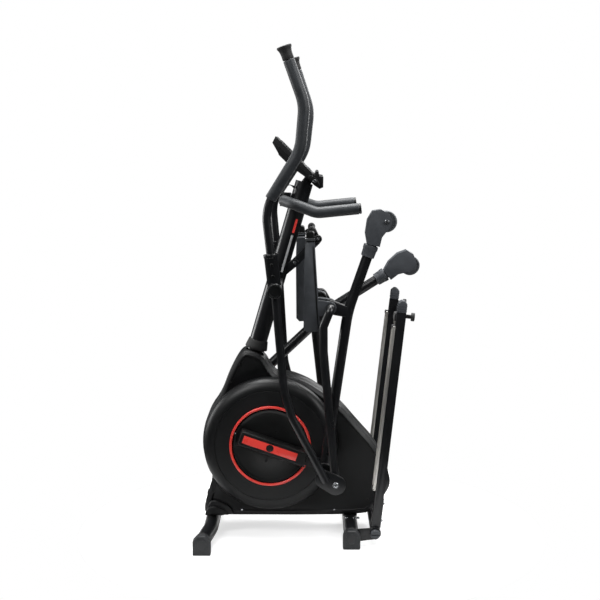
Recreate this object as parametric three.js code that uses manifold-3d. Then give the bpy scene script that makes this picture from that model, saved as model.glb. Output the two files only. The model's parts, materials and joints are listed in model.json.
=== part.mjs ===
// Folding front-drive elliptical trainer, in its folded storage position.
//
// Millimetres, +Z up, +X to the rear (towards the folded rails), -Y the user's left.
// The origin is on the floor under the middle of the object.
// Local frames: every moving group has its pivot at its own origin, and its shapes are
// drawn in the X-Z plane and given their width along Y.

import * as THREE from "three";
import { mergeVertices } from "three/addons/utils/BufferGeometryUtils.js";
import Module from "manifold-3d";

const wasm = await Module();
wasm.setup();

// ---------------------------------------------------------------- driving dimensions

const SIDES = { left: -1, right: 1 };
const GAP = 0.4; // between pieces that seat on each other
const RUNNING_GAP = 3; // between pieces that move past each other
const ROUND = 16; // facets of a turned piece

const shroud = {
  halfWidth: 62,
  wall: 3,
  seam: 0.2, // half of the gap where the two shells meet
  bulgeRadius: 225,
  bulgeFlatRadius: 188,
  bulgeReach: 115, // how far the round bulge stands out from the middle plane
  openingRadius: 128,
};

const crank = {
  x: -137,
  z: 321,
  radius: 192,
  angle: 19, // below the horizontal, towards the rear, on the left side
  axleRadius: 10,
  armThickness: 12,
  armWidth: 40,
  pinRadius: 8,
  pinReach: 150,
  coverWidth: 56,
  coverReach: 147,
  coverFront: 110,
  coverRear: 132,
  discThickness: 9,
  discClearance: 2,
};

const ring = { width: 9, height: 6 };

const spine = { width: 50, bottom: 68, height: 34, front: -330, rear: 150 };
const mast = { lean: 16.3, footX: -189.6, footZ: 632, length: 596, diameter: 60 };
const uprightWidth = 46;

const stabilizer = { diameter: 50, centreZ: 36 };
const frontStabilizer = { x: -340, bow: 16, halfLength: 296 };
const rearStabilizer = { x: 136, halfLength: 235 };
const footCap = { height: 64, length: 34, depth: 58 };
const transportWheel = { radius: 19, width: 16, pinRadius: 4 };

const pulley = { radius: 130, width: 14, clearance: 10 }; // from the wall of the right cover
const flywheel = { x: 104, z: 240, radius: 108, width: 26, pulleyRadius: 26, axleRadius: 7.5 };
const belt = { thickness: 4, clearance: 1.6 };
const idler = { radius: 20, width: 14 };
const magnet = { gap: 4, thickness: 14, width: 34, span: 60 };

const swing = {
  x: -115,
  z: 868,
  y: 260, // middle of the tube
  lowerLength: 673.5,
  lowerAngle: 17, // of the line from the axle to the lower pin, towards the rear
  farTurn: 1.5, // the right arm is parked this much further forward
  handleLength: 757.7,
  handleAngle: 2.5,
  lowerDiameter: 27,
  handleDiameter: 27,
  gripDiameter: 37,
  gripStart: 0.37,
  socketDiameter: 44,
  socketLength: 118,
  hubDiameter: 50,
  hubWidth: 46,
  axleRadius: 9,
  plateThickness: 6,
  pinRadius: 7,
};

const link = {
  pedalArmLength: 580.3,
  pedalArmY: 225,
  pedalArmDiameter: 28,
  connectLength: 545.8, // crank pin to pedal-arm pin
  connectReach: 848.6, // crank pin to roller axle
  connectTurn: 11.55, // between those two lines
  connectY: 175,
  connectDiameter: 34,
  bearingDiameter: 52,
  lugRadius: 23,
};

const roller = { radius: 35, width: 22, axleRadius: 6 };

const pedal = { inner: 72, outer: 207, wall: 6, floor: 9, toe: 76, heel: 215, offset: 36, taper: 9 };

const rail = {
  hingeX: 215,
  hingeZ: 44,
  lean: 6.28,
  length: 787,
  y: 175,
  width: 34,
  depth: 30,
  pinRadius: 7,
  plate: 5,
  trackStart: 145,
  trackInset: 87, // from the free end
  trackWidth: 40,
  trackThickness: 8,
  capLength: 42,
  footInset: 52,
  footStem: 18,
  footRadius: 14,
  footThickness: 11,
  stripInset: 37,
  headClearance: 90, // from a roller axle to the middle of a rail that passes it
};

const console_ = { halfWidth: 150, screenWidth: 210, screenLength: 92, screenInset: 3, buttonRadius: 9 };
const handlebar = { diameter: 28, gripDiameter: 36, halfWidth: 214, reach: 157, height: 1127 };
const wireDiameter = 3;
const latch = { pivotX: -55, pivotZ: 932, barWidth: 20, crossRadius: 12, crossHalf: 118, pinRadius: 5 };

// ---------------------------------------------------------------- finishes

const finish = (color, roughness, metalness) => new THREE.MeshStandardMaterial({ color, roughness, metalness });
const finishes = {
  blackTube: finish(0x17181a, 0.42, 0.3),
  plastic: finish(0x1b1c1e, 0.5, 0),
  gloss: finish(0x0e0f10, 0.25, 0),
  grey: finish(0x3a3d40, 0.6, 0),
  foam: finish(0x25272a, 0.9, 0),
  red: finish(0xe8483f, 0.4, 0),
  steel: finish(0xb9bcc0, 0.3, 1),
  aluminium: finish(0xc9c6c0, 0.35, 1),
  rubber: finish(0x141414, 0.85, 0),
  iron: finish(0x55585c, 0.5, 1),
  screen: finish(0x2a3338, 0.15, 0),
};

// ---------------------------------------------------------------- geometry tools

const radians = THREE.MathUtils.degToRad;
const degrees = THREE.MathUtils.radToDeg;
const point = (x, z) => new THREE.Vector2(x, z);
const polar = (length, angle) => point(length * Math.sin(radians(angle)), length * Math.cos(radians(angle)));
const angleOf = (vector) => degrees(Math.atan2(vector.x, vector.y));

/** A closed solid from a closed three.js geometry, with its faces pointing outwards. */
function solid(geometry) {
  const bare = geometry.clone();
  bare.deleteAttribute("normal");
  bare.deleteAttribute("uv");
  const merged = mergeVertices(bare, 1e-4);
  const triangles = Uint32Array.from(merged.index.array);
  const build = () =>
    new wasm.Manifold(
      new wasm.Mesh({ numProp: 3, vertProperties: merged.attributes.position.array, triVerts: triangles }),
    );
  const body = build();
  if (body.volume() > 0) return body;
  for (let i = 0; i < triangles.length; i += 3) {
    [triangles[i + 1], triangles[i + 2]] = [triangles[i + 2], triangles[i + 1]];
  }
  return build();
}

const join = (...bodies) => bodies.reduce((sum, body) => sum.add(body));
const cut = (body, ...tools) => tools.reduce((rest, tool) => rest.subtract(tool), body);

/** A box between two values on each axis. */
function box([x0, x1], [y0, y1], [z0, z1]) {
  const geometry = new THREE.BoxGeometry(Math.abs(x1 - x0), Math.abs(y1 - y0), Math.abs(z1 - z0));
  return solid(geometry.translate((x0 + x1) / 2, (y0 + y1) / 2, (z0 + z1) / 2));
}

/** An outline in the X-Z plane, given its width between two Y values. */
function slab(outline, yA, yB) {
  const geometry = new THREE.ExtrudeGeometry(new THREE.Shape(outline), {
    depth: Math.abs(yB - yA),
    bevelEnabled: false,
  });
  return solid(geometry.rotateX(Math.PI / 2).translate(0, Math.max(yA, yB), 0));
}

/** A turned piece on an axis along Y: profile points are [radius, y]. */
function turned(centre, profile, segments = ROUND) {
  const points = profile.map(([radius, y]) => new THREE.Vector2(radius, y));
  const closed = profile[0][0] === 0 ? points : [...points, points[0].clone()];
  return solid(new THREE.LatheGeometry(closed, segments).translate(centre.x, 0, centre.y));
}

/** A round rod along Y. */
function rod(centre, radius, yA, yB, segments = ROUND) {
  return turned(centre, [[0, yA], [radius, yA], [radius, yB], [0, yB]], segments);
}

/** Points of an arc about a centre, angles measured from +Z towards +X. */
function arc(centre, radius, from, to, steps) {
  return Array.from({ length: steps + 1 }, (_, i) =>
    polar(radius, from + ((to - from) * i) / steps).add(centre),
  );
}

/** The outline of a link: two round ends joined by straight sides. */
function linkOutline(a, radiusA, b, radiusB, steps = 6) {
  const heading = angleOf(b.clone().sub(a));
  const spread = degrees(Math.asin((radiusA - radiusB) / a.distanceTo(b)));
  return [
    ...arc(b, radiusB, heading - 90 + spread, heading + 90 - spread, steps),
    ...arc(a, radiusA, heading + 90 - spread, heading + 270 + spread, steps),
  ];
}

/** A straight bar outline between two points. */
function barOutline(a, b, depth) {
  const side = b.clone().sub(a).normalize().multiplyScalar(depth / 2);
  const across = point(-side.y, side.x);
  return [a.clone().add(across), b.clone().add(across), b.clone().sub(across), a.clone().sub(across)];
}

/** An outline moved inwards by the same distance everywhere. */
function inset(outline, distance) {
  const clockwise = THREE.ShapeUtils.area(outline) < 0 ? 1 : -1;
  return outline.map((here, i) => {
    const before = outline[(i + outline.length - 1) % outline.length];
    const after = outline[(i + 1) % outline.length];
    const a = here.clone().sub(before).normalize();
    const b = after.clone().sub(here).normalize();
    const normal = point(a.y + b.y, -a.x - b.x).normalize();
    const stretch = Math.max(0.5, Math.sqrt((1 + a.dot(b)) / 2));
    return here.clone().addScaledVector(normal, (clockwise * distance) / stretch);
  });
}

/** Straight runs joined by arcs, with a station at each end of a run and along each arc. */
class BentPath extends THREE.Curve {
  constructor(corners, bendRadius, degreesPerStep = 14) {
    super();
    this.stations = [];
    corners.forEach((corner, i) => {
      if (i === 0 || i === corners.length - 1) {
        const other = corners[i === 0 ? 1 : i - 1];
        const way = i === 0 ? other.clone().sub(corner) : corner.clone().sub(other);
        this.stations.push({ at: corner.clone(), way: way.normalize() });
        return;
      }
      const before = corner.clone().sub(corners[i - 1]);
      const after = corners[i + 1].clone().sub(corner);
      const room = 0.48 * Math.min(before.length(), after.length());
      const d1 = before.normalize();
      const d2 = after.normalize();
      const turn = d1.angleTo(d2);
      const radius = Math.min(bendRadius, room / Math.tan(turn / 2));
      const inward = d2.clone().addScaledVector(d1, -Math.cos(turn)).normalize();
      const start = corner.clone().addScaledVector(d1, -radius * Math.tan(turn / 2));
      const steps = Math.max(1, Math.round(degrees(turn) / degreesPerStep));
      for (let k = 0; k <= steps; k += 1) {
        const phi = (turn * k) / steps;
        const at = start.clone().addScaledVector(d1, radius * Math.sin(phi));
        at.addScaledVector(inward, radius * (1 - Math.cos(phi)));
        const way = d1.clone().multiplyScalar(Math.cos(phi)).addScaledVector(inward, Math.sin(phi));
        this.stations.push({ at, way });
      }
    });
  }

  /** The part of the path between two shares of its length. */
  between(from, to) {
    const part = Object.create(BentPath.prototype);
    const distances = [0];
    this.stations.slice(1).forEach((station, i) => {
      distances.push(distances[i] + station.at.distanceTo(this.stations[i].at));
    });
    const total = distances.at(-1);
    const at = (distance) => {
      const i = Math.max(1, distances.findIndex((value) => value >= distance - 1e-9));
      const share = (distance - distances[i - 1]) / (distances[i] - distances[i - 1]);
      const way = this.stations[i].at.clone().sub(this.stations[i - 1].at).normalize();
      return { at: this.stations[i - 1].at.clone().lerp(this.stations[i].at, share), way };
    };
    const inside = this.stations.filter(
      (_, i) => distances[i] > from * total + 1 && distances[i] < to * total - 1,
    );
    part.stations = [at(from * total), ...inside, at(to * total)];
    return part;
  }

  get steps() {
    return this.stations.length - 1;
  }
  getPoint(t) {
    return this.stations[Math.round(t * this.steps)].at.clone();
  }
  getPointAt(t) {
    return this.getPoint(t);
  }
  getTangentAt(t) {
    return this.stations[Math.round(t * this.steps)].way.clone();
  }
  getSpacedPoints() {
    return this.stations.map((station) => station.at.clone());
  }
}

const circle = (radius, sides) =>
  Array.from({ length: sides }, (_, i) => {
    const angle = (2 * Math.PI * (i + 0.5)) / sides;
    return new THREE.Vector2(radius * Math.cos(angle), radius * Math.sin(angle));
  });

/** A round tube or rod along a bent path; a bore makes it a sleeve. */
function tube(path, diameter, { bore = 0, sides = 10 } = {}) {
  const section = new THREE.Shape(circle(diameter / 2, sides));
  // The bore is measured over its flats, so that a round rod of that size passes.
  if (bore) section.holes.push(new THREE.Path(circle(bore / 2 / Math.cos(Math.PI / sides), sides).reverse()));
  return solid(
    new THREE.ExtrudeGeometry(section, { steps: path.steps, extrudePath: path, bevelEnabled: false }),
  );
}

/** Corner points given as [share of the way from a to b, offset to the front side], at one Y. */
function bowed(a, b, corners, y) {
  const along = b.clone().sub(a);
  const front = point(-along.y, along.x).normalize();
  if (front.x > 0) front.negate();
  return corners.map(([share, offset]) => {
    const at = a.clone().addScaledVector(along, share).addScaledVector(front, offset);
    return new THREE.Vector3(at.x, y, at.y);
  });
}

/** The crossing of two circles that lies on the upper side of the line between their centres. */
function upperCrossing(a, radiusA, b, radiusB) {
  const way = b.clone().sub(a);
  const distance = way.length();
  const along = (radiusA ** 2 - radiusB ** 2 + distance ** 2) / (2 * distance);
  const height = Math.sqrt(radiusA ** 2 - along ** 2);
  way.normalize();
  const across = point(-way.y, way.x);
  const options = [height, -height].map((h) =>
    a.clone().addScaledVector(way, along).addScaledVector(across, h),
  );
  return options.reduce((best, option) => (option.y > best.y ? option : best));
}

const model = new THREE.Group();

/** Add one named piece to a group. */
function add(group, name, material, body) {
  const result = body.getMesh();
  const geometry = new THREE.BufferGeometry();
  geometry.setAttribute("position", new THREE.BufferAttribute(Float32Array.from(result.vertProperties), 3));
  geometry.setIndex(new THREE.BufferAttribute(Uint32Array.from(result.triVerts), 1));
  const mesh = new THREE.Mesh(geometry, material);
  mesh.name = name;
  group.add(mesh);
  return mesh;
}

/** A group whose origin is a pivot in the X-Z plane, turned about +Y. */
function pivotGroup(parent, centre, turn = 0) {
  const group = new THREE.Group();
  group.position.set(centre.x, 0, centre.y);
  group.rotation.y = radians(turn);
  parent.add(group);
  return group;
}

const ORIGIN = point(0, 0);

// ---------------------------------------------------------------- where the linkage rests

const crankAxis = point(crank.x, crank.z);
const swingAxis = point(swing.x, swing.z);
const railAxis = point(rail.hingeX, rail.hingeZ);
const flywheelAxis = point(flywheel.x, flywheel.z);
const latchAxis = point(latch.pivotX, latch.pivotZ);

/** Pins of one side at rest: crank pin, lower pin of the swing arm, pedal-arm pin. */
function restPins(side) {
  const turn = side > 0 ? swing.farTurn : 0;
  const crankPin = crankAxis.clone().addScaledVector(polar(crank.radius, 90 + crank.angle), -side);
  const lowerPin = swingAxis.clone().add(polar(swing.lowerLength, 180 - swing.lowerAngle + turn));
  const pedalPin = upperCrossing(crankPin, link.connectLength, lowerPin, link.pedalArmLength);
  return { turn, crankPin, lowerPin, pedalPin };
}

// The shapes of the moving arms are drawn in the left side's rest position.
const drawn = restPins(SIDES.left);
const drawnPedalAngle = angleOf(drawn.pedalPin.clone().sub(drawn.lowerPin));
const drawnConnectAngle = angleOf(drawn.pedalPin.clone().sub(drawn.crankPin));
const rollerFromCrank = polar(link.connectReach, drawnConnectAngle + link.connectTurn);

// ---------------------------------------------------------------- frame

const mastWay = polar(1, mast.lean);
const mastFoot = point(mast.footX, mast.footZ);
const mastTop = mastFoot.clone().addScaledVector(mastWay, mast.length);
const onMast = (z) => mastFoot.clone().addScaledVector(mastWay, (z - mast.footZ) / mastWay.y);
const atY = ({ x, y: z }, y) => new THREE.Vector3(x, y, z);
const straight = (a, b) => new BentPath([a, b], 1);

function mainFrame() {
  const top = spine.bottom + spine.height;
  const middle = spine.bottom + spine.height / 2;
  const half = spine.width / 2;
  const uprightTop = mastFoot.clone().addScaledVector(mastWay, -GAP);
  const uprightFoot = point(spine.front + uprightWidth / 2, middle);
  const uprightKnee = onMast(crank.z);
  const housing = { radius: 30, half: pulleyFace.inner - 5 };
  const flywheelPlate = { inner: flywheel.width / 2 + 6, thickness: 5, radius: 24 };
  const plates = Object.values(SIDES).map((side) =>
    slab(
      linkOutline(flywheelAxis, flywheelPlate.radius, point(flywheel.x, middle), spine.height / 2),
      side * flywheelPlate.inner,
      side * (flywheelPlate.inner + flywheelPlate.thickness),
    ),
  );
  const idlerStud = rod(idlerAxis, idler.radius / 3, 0, pulleyFace.inner + idler.width);
  const seat = stabilizer.centreZ + stabilizer.diameter / 2 + GAP;
  const foot = (x) => box([x - 26, x + 26], [-half, half], [seat, middle]);
  return cut(
    join(
      box([spine.front, spine.rear], [-half, half], [spine.bottom, top]),
      slab(barOutline(uprightKnee, uprightTop, uprightWidth), -uprightWidth / 2, uprightWidth / 2),
      slab(linkOutline(uprightFoot, uprightWidth / 2, uprightKnee, uprightWidth / 2), -half + 3, half - 3),
      slab(barOutline(uprightKnee, crankAxis, 36), -half + 5, half - 5),
      rod(crankAxis, housing.radius, -housing.half, housing.half),
      slab(barOutline(point(idlerAxis.x, middle), idlerAxis, 20), -half + 7, half - 7),
      idlerStud,
      ...plates,
      foot(frontStabilizer.x + 16),
      foot(rearStabilizer.x),
    ),
    rod(crankAxis, crank.axleRadius + GAP, -housing.half - 1, housing.half + 1),
    rod(flywheelAxis, flywheel.axleRadius + GAP, -half * 2, half * 2),
  );
}

function mastBody() {
  const path = straight(atY(mastFoot, 0), atY(mastTop, 0));
  const crossHalf = swing.y - swing.hubWidth / 2 - RUNNING_GAP;
  const eyeRadius = 13;
  const eyes = Object.values(SIDES).map((side) =>
    slab(
      linkOutline(onMast(latch.pivotZ - 45), 16, latchAxis, eyeRadius),
      side * (latch.barWidth / 2 + 1),
      side * (latch.barWidth / 2 + 6),
    ),
  );
  const boss = slab(
    linkOutline(mastTop.clone().addScaledVector(mastWay, -30), 20, consoleAxis, consoleBoss.radius),
    -consoleBoss.half,
    consoleBoss.half,
  );
  return cut(
    join(
      tube(path, mast.diameter, { sides: 20 }),
      rod(swingAxis, 21, -crossHalf, crossHalf),
      boss,
      ...eyes,
      rod(latchAxis, latch.pinRadius, -latch.barWidth / 2 - 8, latch.barWidth / 2 + 8, 12),
    ),
    rod(swingAxis, swing.axleRadius + GAP, -crossHalf - 1, crossHalf + 1),
  );
}

function frontStabilizerBody() {
  const end = frontStabilizer.halfLength - footCap.length - 3;
  const corners = [
    [-end, frontStabilizer.x - frontStabilizer.bow],
    [-120, frontStabilizer.x],
    [120, frontStabilizer.x],
    [end, frontStabilizer.x - frontStabilizer.bow],
  ].map(([y, x]) => new THREE.Vector3(x, y, stabilizer.centreZ));
  return tube(new BentPath(corners, 300), stabilizer.diameter, { sides: 14 });
}

/** Tube with the hinge plates of the rails and the pin through them. */
function rearStabilizerBody() {
  const end = rearStabilizer.halfLength - footCap.length;
  const centre = point(rearStabilizer.x, stabilizer.centreZ);
  const plates = Object.values(SIDES).map((side) => {
    const inner = side * (rail.y + rail.width / 2 + 1);
    return slab(linkOutline(centre, 22, railAxis, 20), inner, inner + side * rail.plate);
  });
  const pin = rod(railAxis, rail.pinRadius, -hingeReach, hingeReach);
  return join(rod(centre, stabilizer.diameter / 2, -end, end, 20), pin, ...plates);
}

/** Round plug with a flat sole, pushed over the end of a stabilizer tube. */
function footCapBody(x, reach, side, wheel) {
  const half = footCap.depth / 2;
  const inner = side * (reach - footCap.length + GAP);
  const outer = side * reach;
  const outline = [
    point(x - half, 0),
    point(x - half, footCap.height - 16),
    point(x - half + 16, footCap.height),
    point(x + half - 16, footCap.height),
    point(x + half, footCap.height - 16),
    point(x + half, 0),
  ];
  const body = slab(outline, inner, outer);
  if (!wheel) return body;
  const middle = side * (reach - footCap.length / 2);
  const slot = transportWheel.width / 2 + 2;
  const front = x - half - 1;
  const pocketRear = wheel.x + transportWheel.radius + 3;
  const pocketTop = wheel.y + transportWheel.radius + 3;
  return join(
    cut(body, box([front, pocketRear], [middle - slot, middle + slot], [-1, pocketTop])),
    rod(wheel, transportWheel.pinRadius, middle - slot - 1, middle + slot + 1, 12),
  );
}

// ---------------------------------------------------------------- covers

const shroudOutline = [
  point(-220, 640),
  point(-245, 622),
  point(-285, 547),
  point(-308, 481),
  point(-351, 420),
  point(-369, 344),
  point(-365, 272),
  point(-338, 210),
  point(-342, 179),
  point(-362, 117),
  point(-368, 70),
  point(-340, 62),
  point(176, 62),
  point(213, 84),
  point(256, 138),
  point(274, 177),
  point(263, 224),
  point(224, 305),
  point(163, 372),
  point(98, 449),
  point(33, 495),
  point(-12, 525),
  point(-82, 551),
  point(-112, 545),
  point(-139, 577),
  point(-162, 617),
];

/** One half of the cover: a tray with a round, domed bulge over the crank. */
function shroudShell(side) {
  const wall = shroud.wall;
  const face = shroud.halfWidth;
  const reach = shroud.bulgeReach;
  const dome = (grow) => [
    [0, side * (grow ? shroud.seam : shroud.seam - 1)],
    [shroud.bulgeRadius + grow, side * (grow ? shroud.seam : shroud.seam - 1)],
    [shroud.bulgeRadius + grow, side * (face + 4)],
    [shroud.bulgeFlatRadius + 14 + grow, side * (reach - 12 - wall + grow)],
    [shroud.bulgeFlatRadius + grow, side * (reach - wall + grow)],
    [0, side * (reach - wall + grow)],
  ];
  const trimmed = (body) => {
    const beyond = box([-700, 700], [side * 0, side * 300], [62, 900]);
    return body.intersect(beyond);
  };
  const outer = join(slab(shroudOutline, side * shroud.seam, side * face), trimmed(turned(crankAxis, dome(wall), 40)));
  const inner = join(
    slab(inset(shroudOutline, wall), side * -1, side * (face - wall)),
    turned(crankAxis, dome(0), 40).intersect(box([-700, 700], [side * -5, side * 300], [62 + wall, 900])),
  );
  const uprightRoom = uprightWidth + 2 * RUNNING_GAP;
  const half = spine.width / 2 + RUNNING_GAP;
  const mastRoom = mast.diameter + 2 * RUNNING_GAP;
  return cut(
    outer,
    inner,
    rod(crankAxis, shroud.openingRadius, 0, side * 200, 40),
    slab(barOutline(onMast(500), onMast(900), mastRoom), -uprightRoom / 2, uprightRoom / 2),
    box([frontStabilizer.x - 14, frontStabilizer.x + 16 + 30], [-half, half], [0, 80]),
    box([rearStabilizer.x - 30, rearStabilizer.x + 30], [-half, half], [0, 80]),
  );
}

function trimRing(side) {
  const inner = shroud.openingRadius + 1;
  const seat = side * (shroud.bulgeReach + GAP);
  const top = side * (shroud.bulgeReach + GAP + ring.height);
  return turned(crankAxis, [[inner, seat], [inner + ring.width, seat], [inner + ring.width, top], [inner, top]], 48);
}

/** Boot that closes the cover around the mast. */
function mastBoot() {
  const low = onMast(644);
  const high = onMast(672);
  const path = straight(atY(low, 0), atY(high, 0));
  return tube(path, mast.diameter + 22, { bore: mast.diameter + 2 * GAP + 1, sides: 20 });
}

// ---------------------------------------------------------------- drive

const pulleyOuter = shroud.halfWidth - shroud.wall - pulley.clearance;
const pulleyFace = { inner: pulleyOuter - pulley.width, outer: pulleyOuter };

function crankArm(side) {
  const pin = polar(crank.radius, 90 + crank.angle).multiplyScalar(-side);
  const inner = side * (shroud.bulgeReach + 9);
  const outer = inner + side * crank.armThickness;
  return cut(
    join(
      slab(linkOutline(ORIGIN, crank.armWidth / 2 + 3, pin, crank.armWidth / 2 - 2), inner, outer),
      rod(pin, crank.pinRadius, inner, side * crank.pinReach, 12),
    ),
    rod(ORIGIN, crank.axleRadius + GAP, inner - side, outer + side),
  );
}

/** Moulded bar over the crank arm, open towards the machine. */
function crankCover(side) {
  const way = polar(1, 90 + crank.angle).multiplyScalar(-side);
  const pin = way.clone().multiplyScalar(crank.radius);
  const front = way.clone().multiplyScalar(-crank.coverFront);
  const rear = way.clone().multiplyScalar(crank.coverRear);
  const inner = shroud.bulgeReach + 7;
  const pocketTop = shroud.bulgeReach + 9 + crank.armThickness + 1;
  return cut(
    slab(barOutline(front, rear, crank.coverWidth), side * inner, side * crank.coverReach),
    slab(linkOutline(ORIGIN, crank.armWidth / 2 + 4, pin, crank.armWidth / 2 - 1), side * (inner - 1), side * pocketTop),
    rod(ORIGIN, crank.axleRadius + 4, side * (inner - 1), side * (crank.coverReach - 6)),
  );
}

function crankDisc(side) {
  const inner = side * (shroud.bulgeReach - crank.discThickness + 2);
  const outer = side * (shroud.bulgeReach + 2);
  const radius = shroud.openingRadius - crank.discClearance;
  const bore = crank.axleRadius + GAP;
  return turned(ORIGIN, [[bore, inner], [radius, inner], [radius, outer], [bore, outer]], 40);
}

function crankAxleBody() {
  const reach = shroud.bulgeReach + 9 + crank.armThickness + 4;
  return rod(ORIGIN, crank.axleRadius, -reach, reach);
}

/** Grooved wheel with a web, on the crank axle. */
function drivePulley() {
  const { inner, outer } = pulleyFace;
  const bore = crank.axleRadius + GAP;
  const web = { inner: inner + 4, outer: outer - 4 };
  return turned(
    ORIGIN,
    [
      [bore, inner],
      [32, inner],
      [32, web.inner],
      [pulley.radius - 12, web.inner],
      [pulley.radius - 12, inner],
      [pulley.radius, inner],
      [pulley.radius, outer],
      [pulley.radius - 12, outer],
      [pulley.radius - 12, web.outer],
      [32, web.outer],
      [32, outer],
      [bore, outer],
    ],
    36,
  );
}

/** Where the idler presses on the lower run of the belt, half way along it. */
function idlerPlace() {
  const way = flywheelAxis.clone().sub(crankAxis);
  const lean = degrees(Math.acos((pulley.radius - flywheel.pulleyRadius) / way.length()));
  const outward = polar(1, angleOf(way) + lean);
  const big = crankAxis.clone().addScaledVector(outward, pulley.radius);
  const small = flywheelAxis.clone().addScaledVector(outward, flywheel.pulleyRadius);
  return big.lerp(small, 0.5).addScaledVector(outward, belt.clearance + belt.thickness + idler.radius + 1);
}
const idlerAxis = idlerPlace();

/** The belt's loop: the two pulleys' outline, grown by a distance. */
function beltLoop(grow) {
  return linkOutline(crankAxis, pulley.radius + grow, flywheelAxis, flywheel.pulleyRadius + grow, 14);
}

function driveBelt() {
  const { inner, outer } = pulleyFace;
  return cut(
    slab(beltLoop(belt.clearance + belt.thickness), inner + 1, outer - 1),
    slab(beltLoop(belt.clearance), inner, outer),
  );
}

const idlerPulley = () => {
  const stud = idler.radius / 3;
  const { inner, outer } = pulleyFace;
  return turned(ORIGIN, [[stud + 1, inner], [idler.radius, inner], [idler.radius, outer], [stud + 1, outer]], 20);
};

function flywheelBody() {
  const half = flywheel.width / 2;
  const bore = flywheel.axleRadius - 1;
  const rim = flywheel.radius - 26;
  return turned(
    ORIGIN,
    [
      [bore, -half],
      [26, -half],
      [26, -5],
      [rim, -5],
      [rim, -half],
      [flywheel.radius, -half],
      [flywheel.radius, half],
      [rim, half],
      [rim, 5],
      [26, 5],
      [26, half],
      [bore, half],
    ],
    36,
  );
}

function flywheelAxle() {
  const { inner, outer } = pulleyFace;
  return join(
    rod(ORIGIN, flywheel.axleRadius, -spine.width / 2 - 8, outer + 4),
    rod(ORIGIN, flywheel.pulleyRadius, inner, outer, 20),
  );
}

/** Curved arm that carries the brake magnets round the rim of the flywheel. */
function magnetArm() {
  const inner = flywheel.radius + magnet.gap;
  const outer = inner + magnet.thickness;
  const start = 20;
  return slab(
    [...arc(ORIGIN, inner, start, start + magnet.span, 8), ...arc(ORIGIN, outer, start + magnet.span, start, 8)],
    -magnet.width / 2,
    magnet.width / 2,
  );
}

// ---------------------------------------------------------------- swing arms

const lowerPinLocal = polar(swing.lowerLength, 180 - swing.lowerAngle);
const handleTopLocal = polar(swing.handleLength, swing.handleAngle);

const handlePath = (y) =>
  new BentPath(bowed(ORIGIN, handleTopLocal, [[0, 0], [0.345, 42], [0.59, -62], [0.78, -68], [1, 0]], y), 150);
const lowerPath = (y) =>
  new BentPath(bowed(ORIGIN, lowerPinLocal, [[0, 0], [0.47, 68], [0.61, 70], [0.965, 26]], y), 160);

function swingArm(side) {
  const y = side * swing.y;
  const half = swing.hubWidth / 2;
  const handle = handlePath(y);
  const socket = new BentPath([handle.stations[0].at, handle.getPoint(0).addScaledVector(handle.getTangentAt(0), swing.socketLength)], 1);
  const plateInner = link.pedalArmY + link.pedalArmDiameter / 2 + RUNNING_GAP + 2;
  const plate = slab(
    linkOutline(bowed(ORIGIN, lowerPinLocal, [[0.955, 30]], 0).map((v) => point(v.x, v.z))[0], 30, lowerPinLocal, 33),
    side * plateInner,
    side * (plateInner + swing.plateThickness),
  );
  return cut(
    join(
      tube(handle, swing.handleDiameter),
      tube(lowerPath(y), swing.lowerDiameter),
      tube(socket, swing.socketDiameter, { sides: 14 }),
      rod(ORIGIN, swing.hubDiameter / 2, y - half, y + half, 20),
      plate,
      rod(lowerPinLocal, swing.pinRadius, side * (link.pedalArmY - 16), side * plateInner, 12),
    ),
    rod(ORIGIN, swing.axleRadius + GAP, y - half - 1, y + half + 1),
  );
}

const swingGrip = (side) =>
  tube(handlePath(side * swing.y).between(swing.gripStart, 0.985), swing.gripDiameter, {
    bore: swing.handleDiameter + 2 * GAP,
  });

const swingAxleBody = () => {
  const reach = swing.y + swing.hubWidth / 2;
  return rod(swingAxis, swing.axleRadius, -reach, reach);
};

// ---------------------------------------------------------------- pedal arms and pedals

const pedalPinLocal = drawn.pedalPin.clone().sub(drawn.lowerPin);
const crossInner = pedal.inner + 34;

function pedalArm(side) {
  const y = side * link.pedalArmY;
  const corners = bowed(ORIGIN, pedalPinLocal, [[0, 0], [0.76, 27], [0.9, 25], [1, 0]], y);
  const inboard = new THREE.Vector3(pedalPinLocal.x, side * crossInner, pedalPinLocal.y);
  const reach = link.pedalArmDiameter / 2 + 1;
  return cut(
    join(
      tube(new BentPath([...corners, inboard], 16), link.pedalArmDiameter, { sides: 12 }),
      rod(ORIGIN, 19, y - reach, y + reach),
    ),
    rod(ORIGIN, swing.pinRadius + GAP, y - reach - 1, y + reach + 1, 12),
  );
}

/** Tray for the foot, drawn about the pedal-arm pin; its floor faces the front. */
function pedalBody(side) {
  const { inner, outer, wall, floor, toe, heel, offset, taper } = pedal;
  const way = pedalPinLocal.clone().normalize();
  const front = point(-way.y, way.x);
  const place = (along, forward) => way.clone().multiplyScalar(along).addScaledVector(front, forward);
  const low = offset;
  const outline = [
    place(-toe, low),
    place(heel, low + taper),
    place(heel, low + taper + 30),
    place(heel - 70, low + taper + 36),
    place(20, low + 50),
    place(-toe + 12, low + 54),
    place(-toe, low + 44),
  ];
  const pocket = [
    place(-toe + wall, low + floor),
    place(heel - wall, low + taper + floor),
    place(heel - wall, low + 120),
    place(-toe + wall, low + 120),
  ];
  const lugs = [
    [crossInner + 3, crossInner + 36],
    [link.connectY + link.connectDiameter / 2 + RUNNING_GAP + 2, outer],
  ].map(([a, b]) =>
    slab(linkOutline(place(0, low + 2), 26, ORIGIN, link.pedalArmDiameter / 2 + 6), side * a, side * b),
  );
  return cut(
    join(cut(slab(outline, side * inner, side * outer), slab(pocket, side * (inner + wall), side * (outer - wall))), ...lugs),
    rod(ORIGIN, link.pedalArmDiameter / 2 + 0.8, side * inner, side * (outer + 20), 12),
  );
}

// ---------------------------------------------------------------- connecting arms

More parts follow.
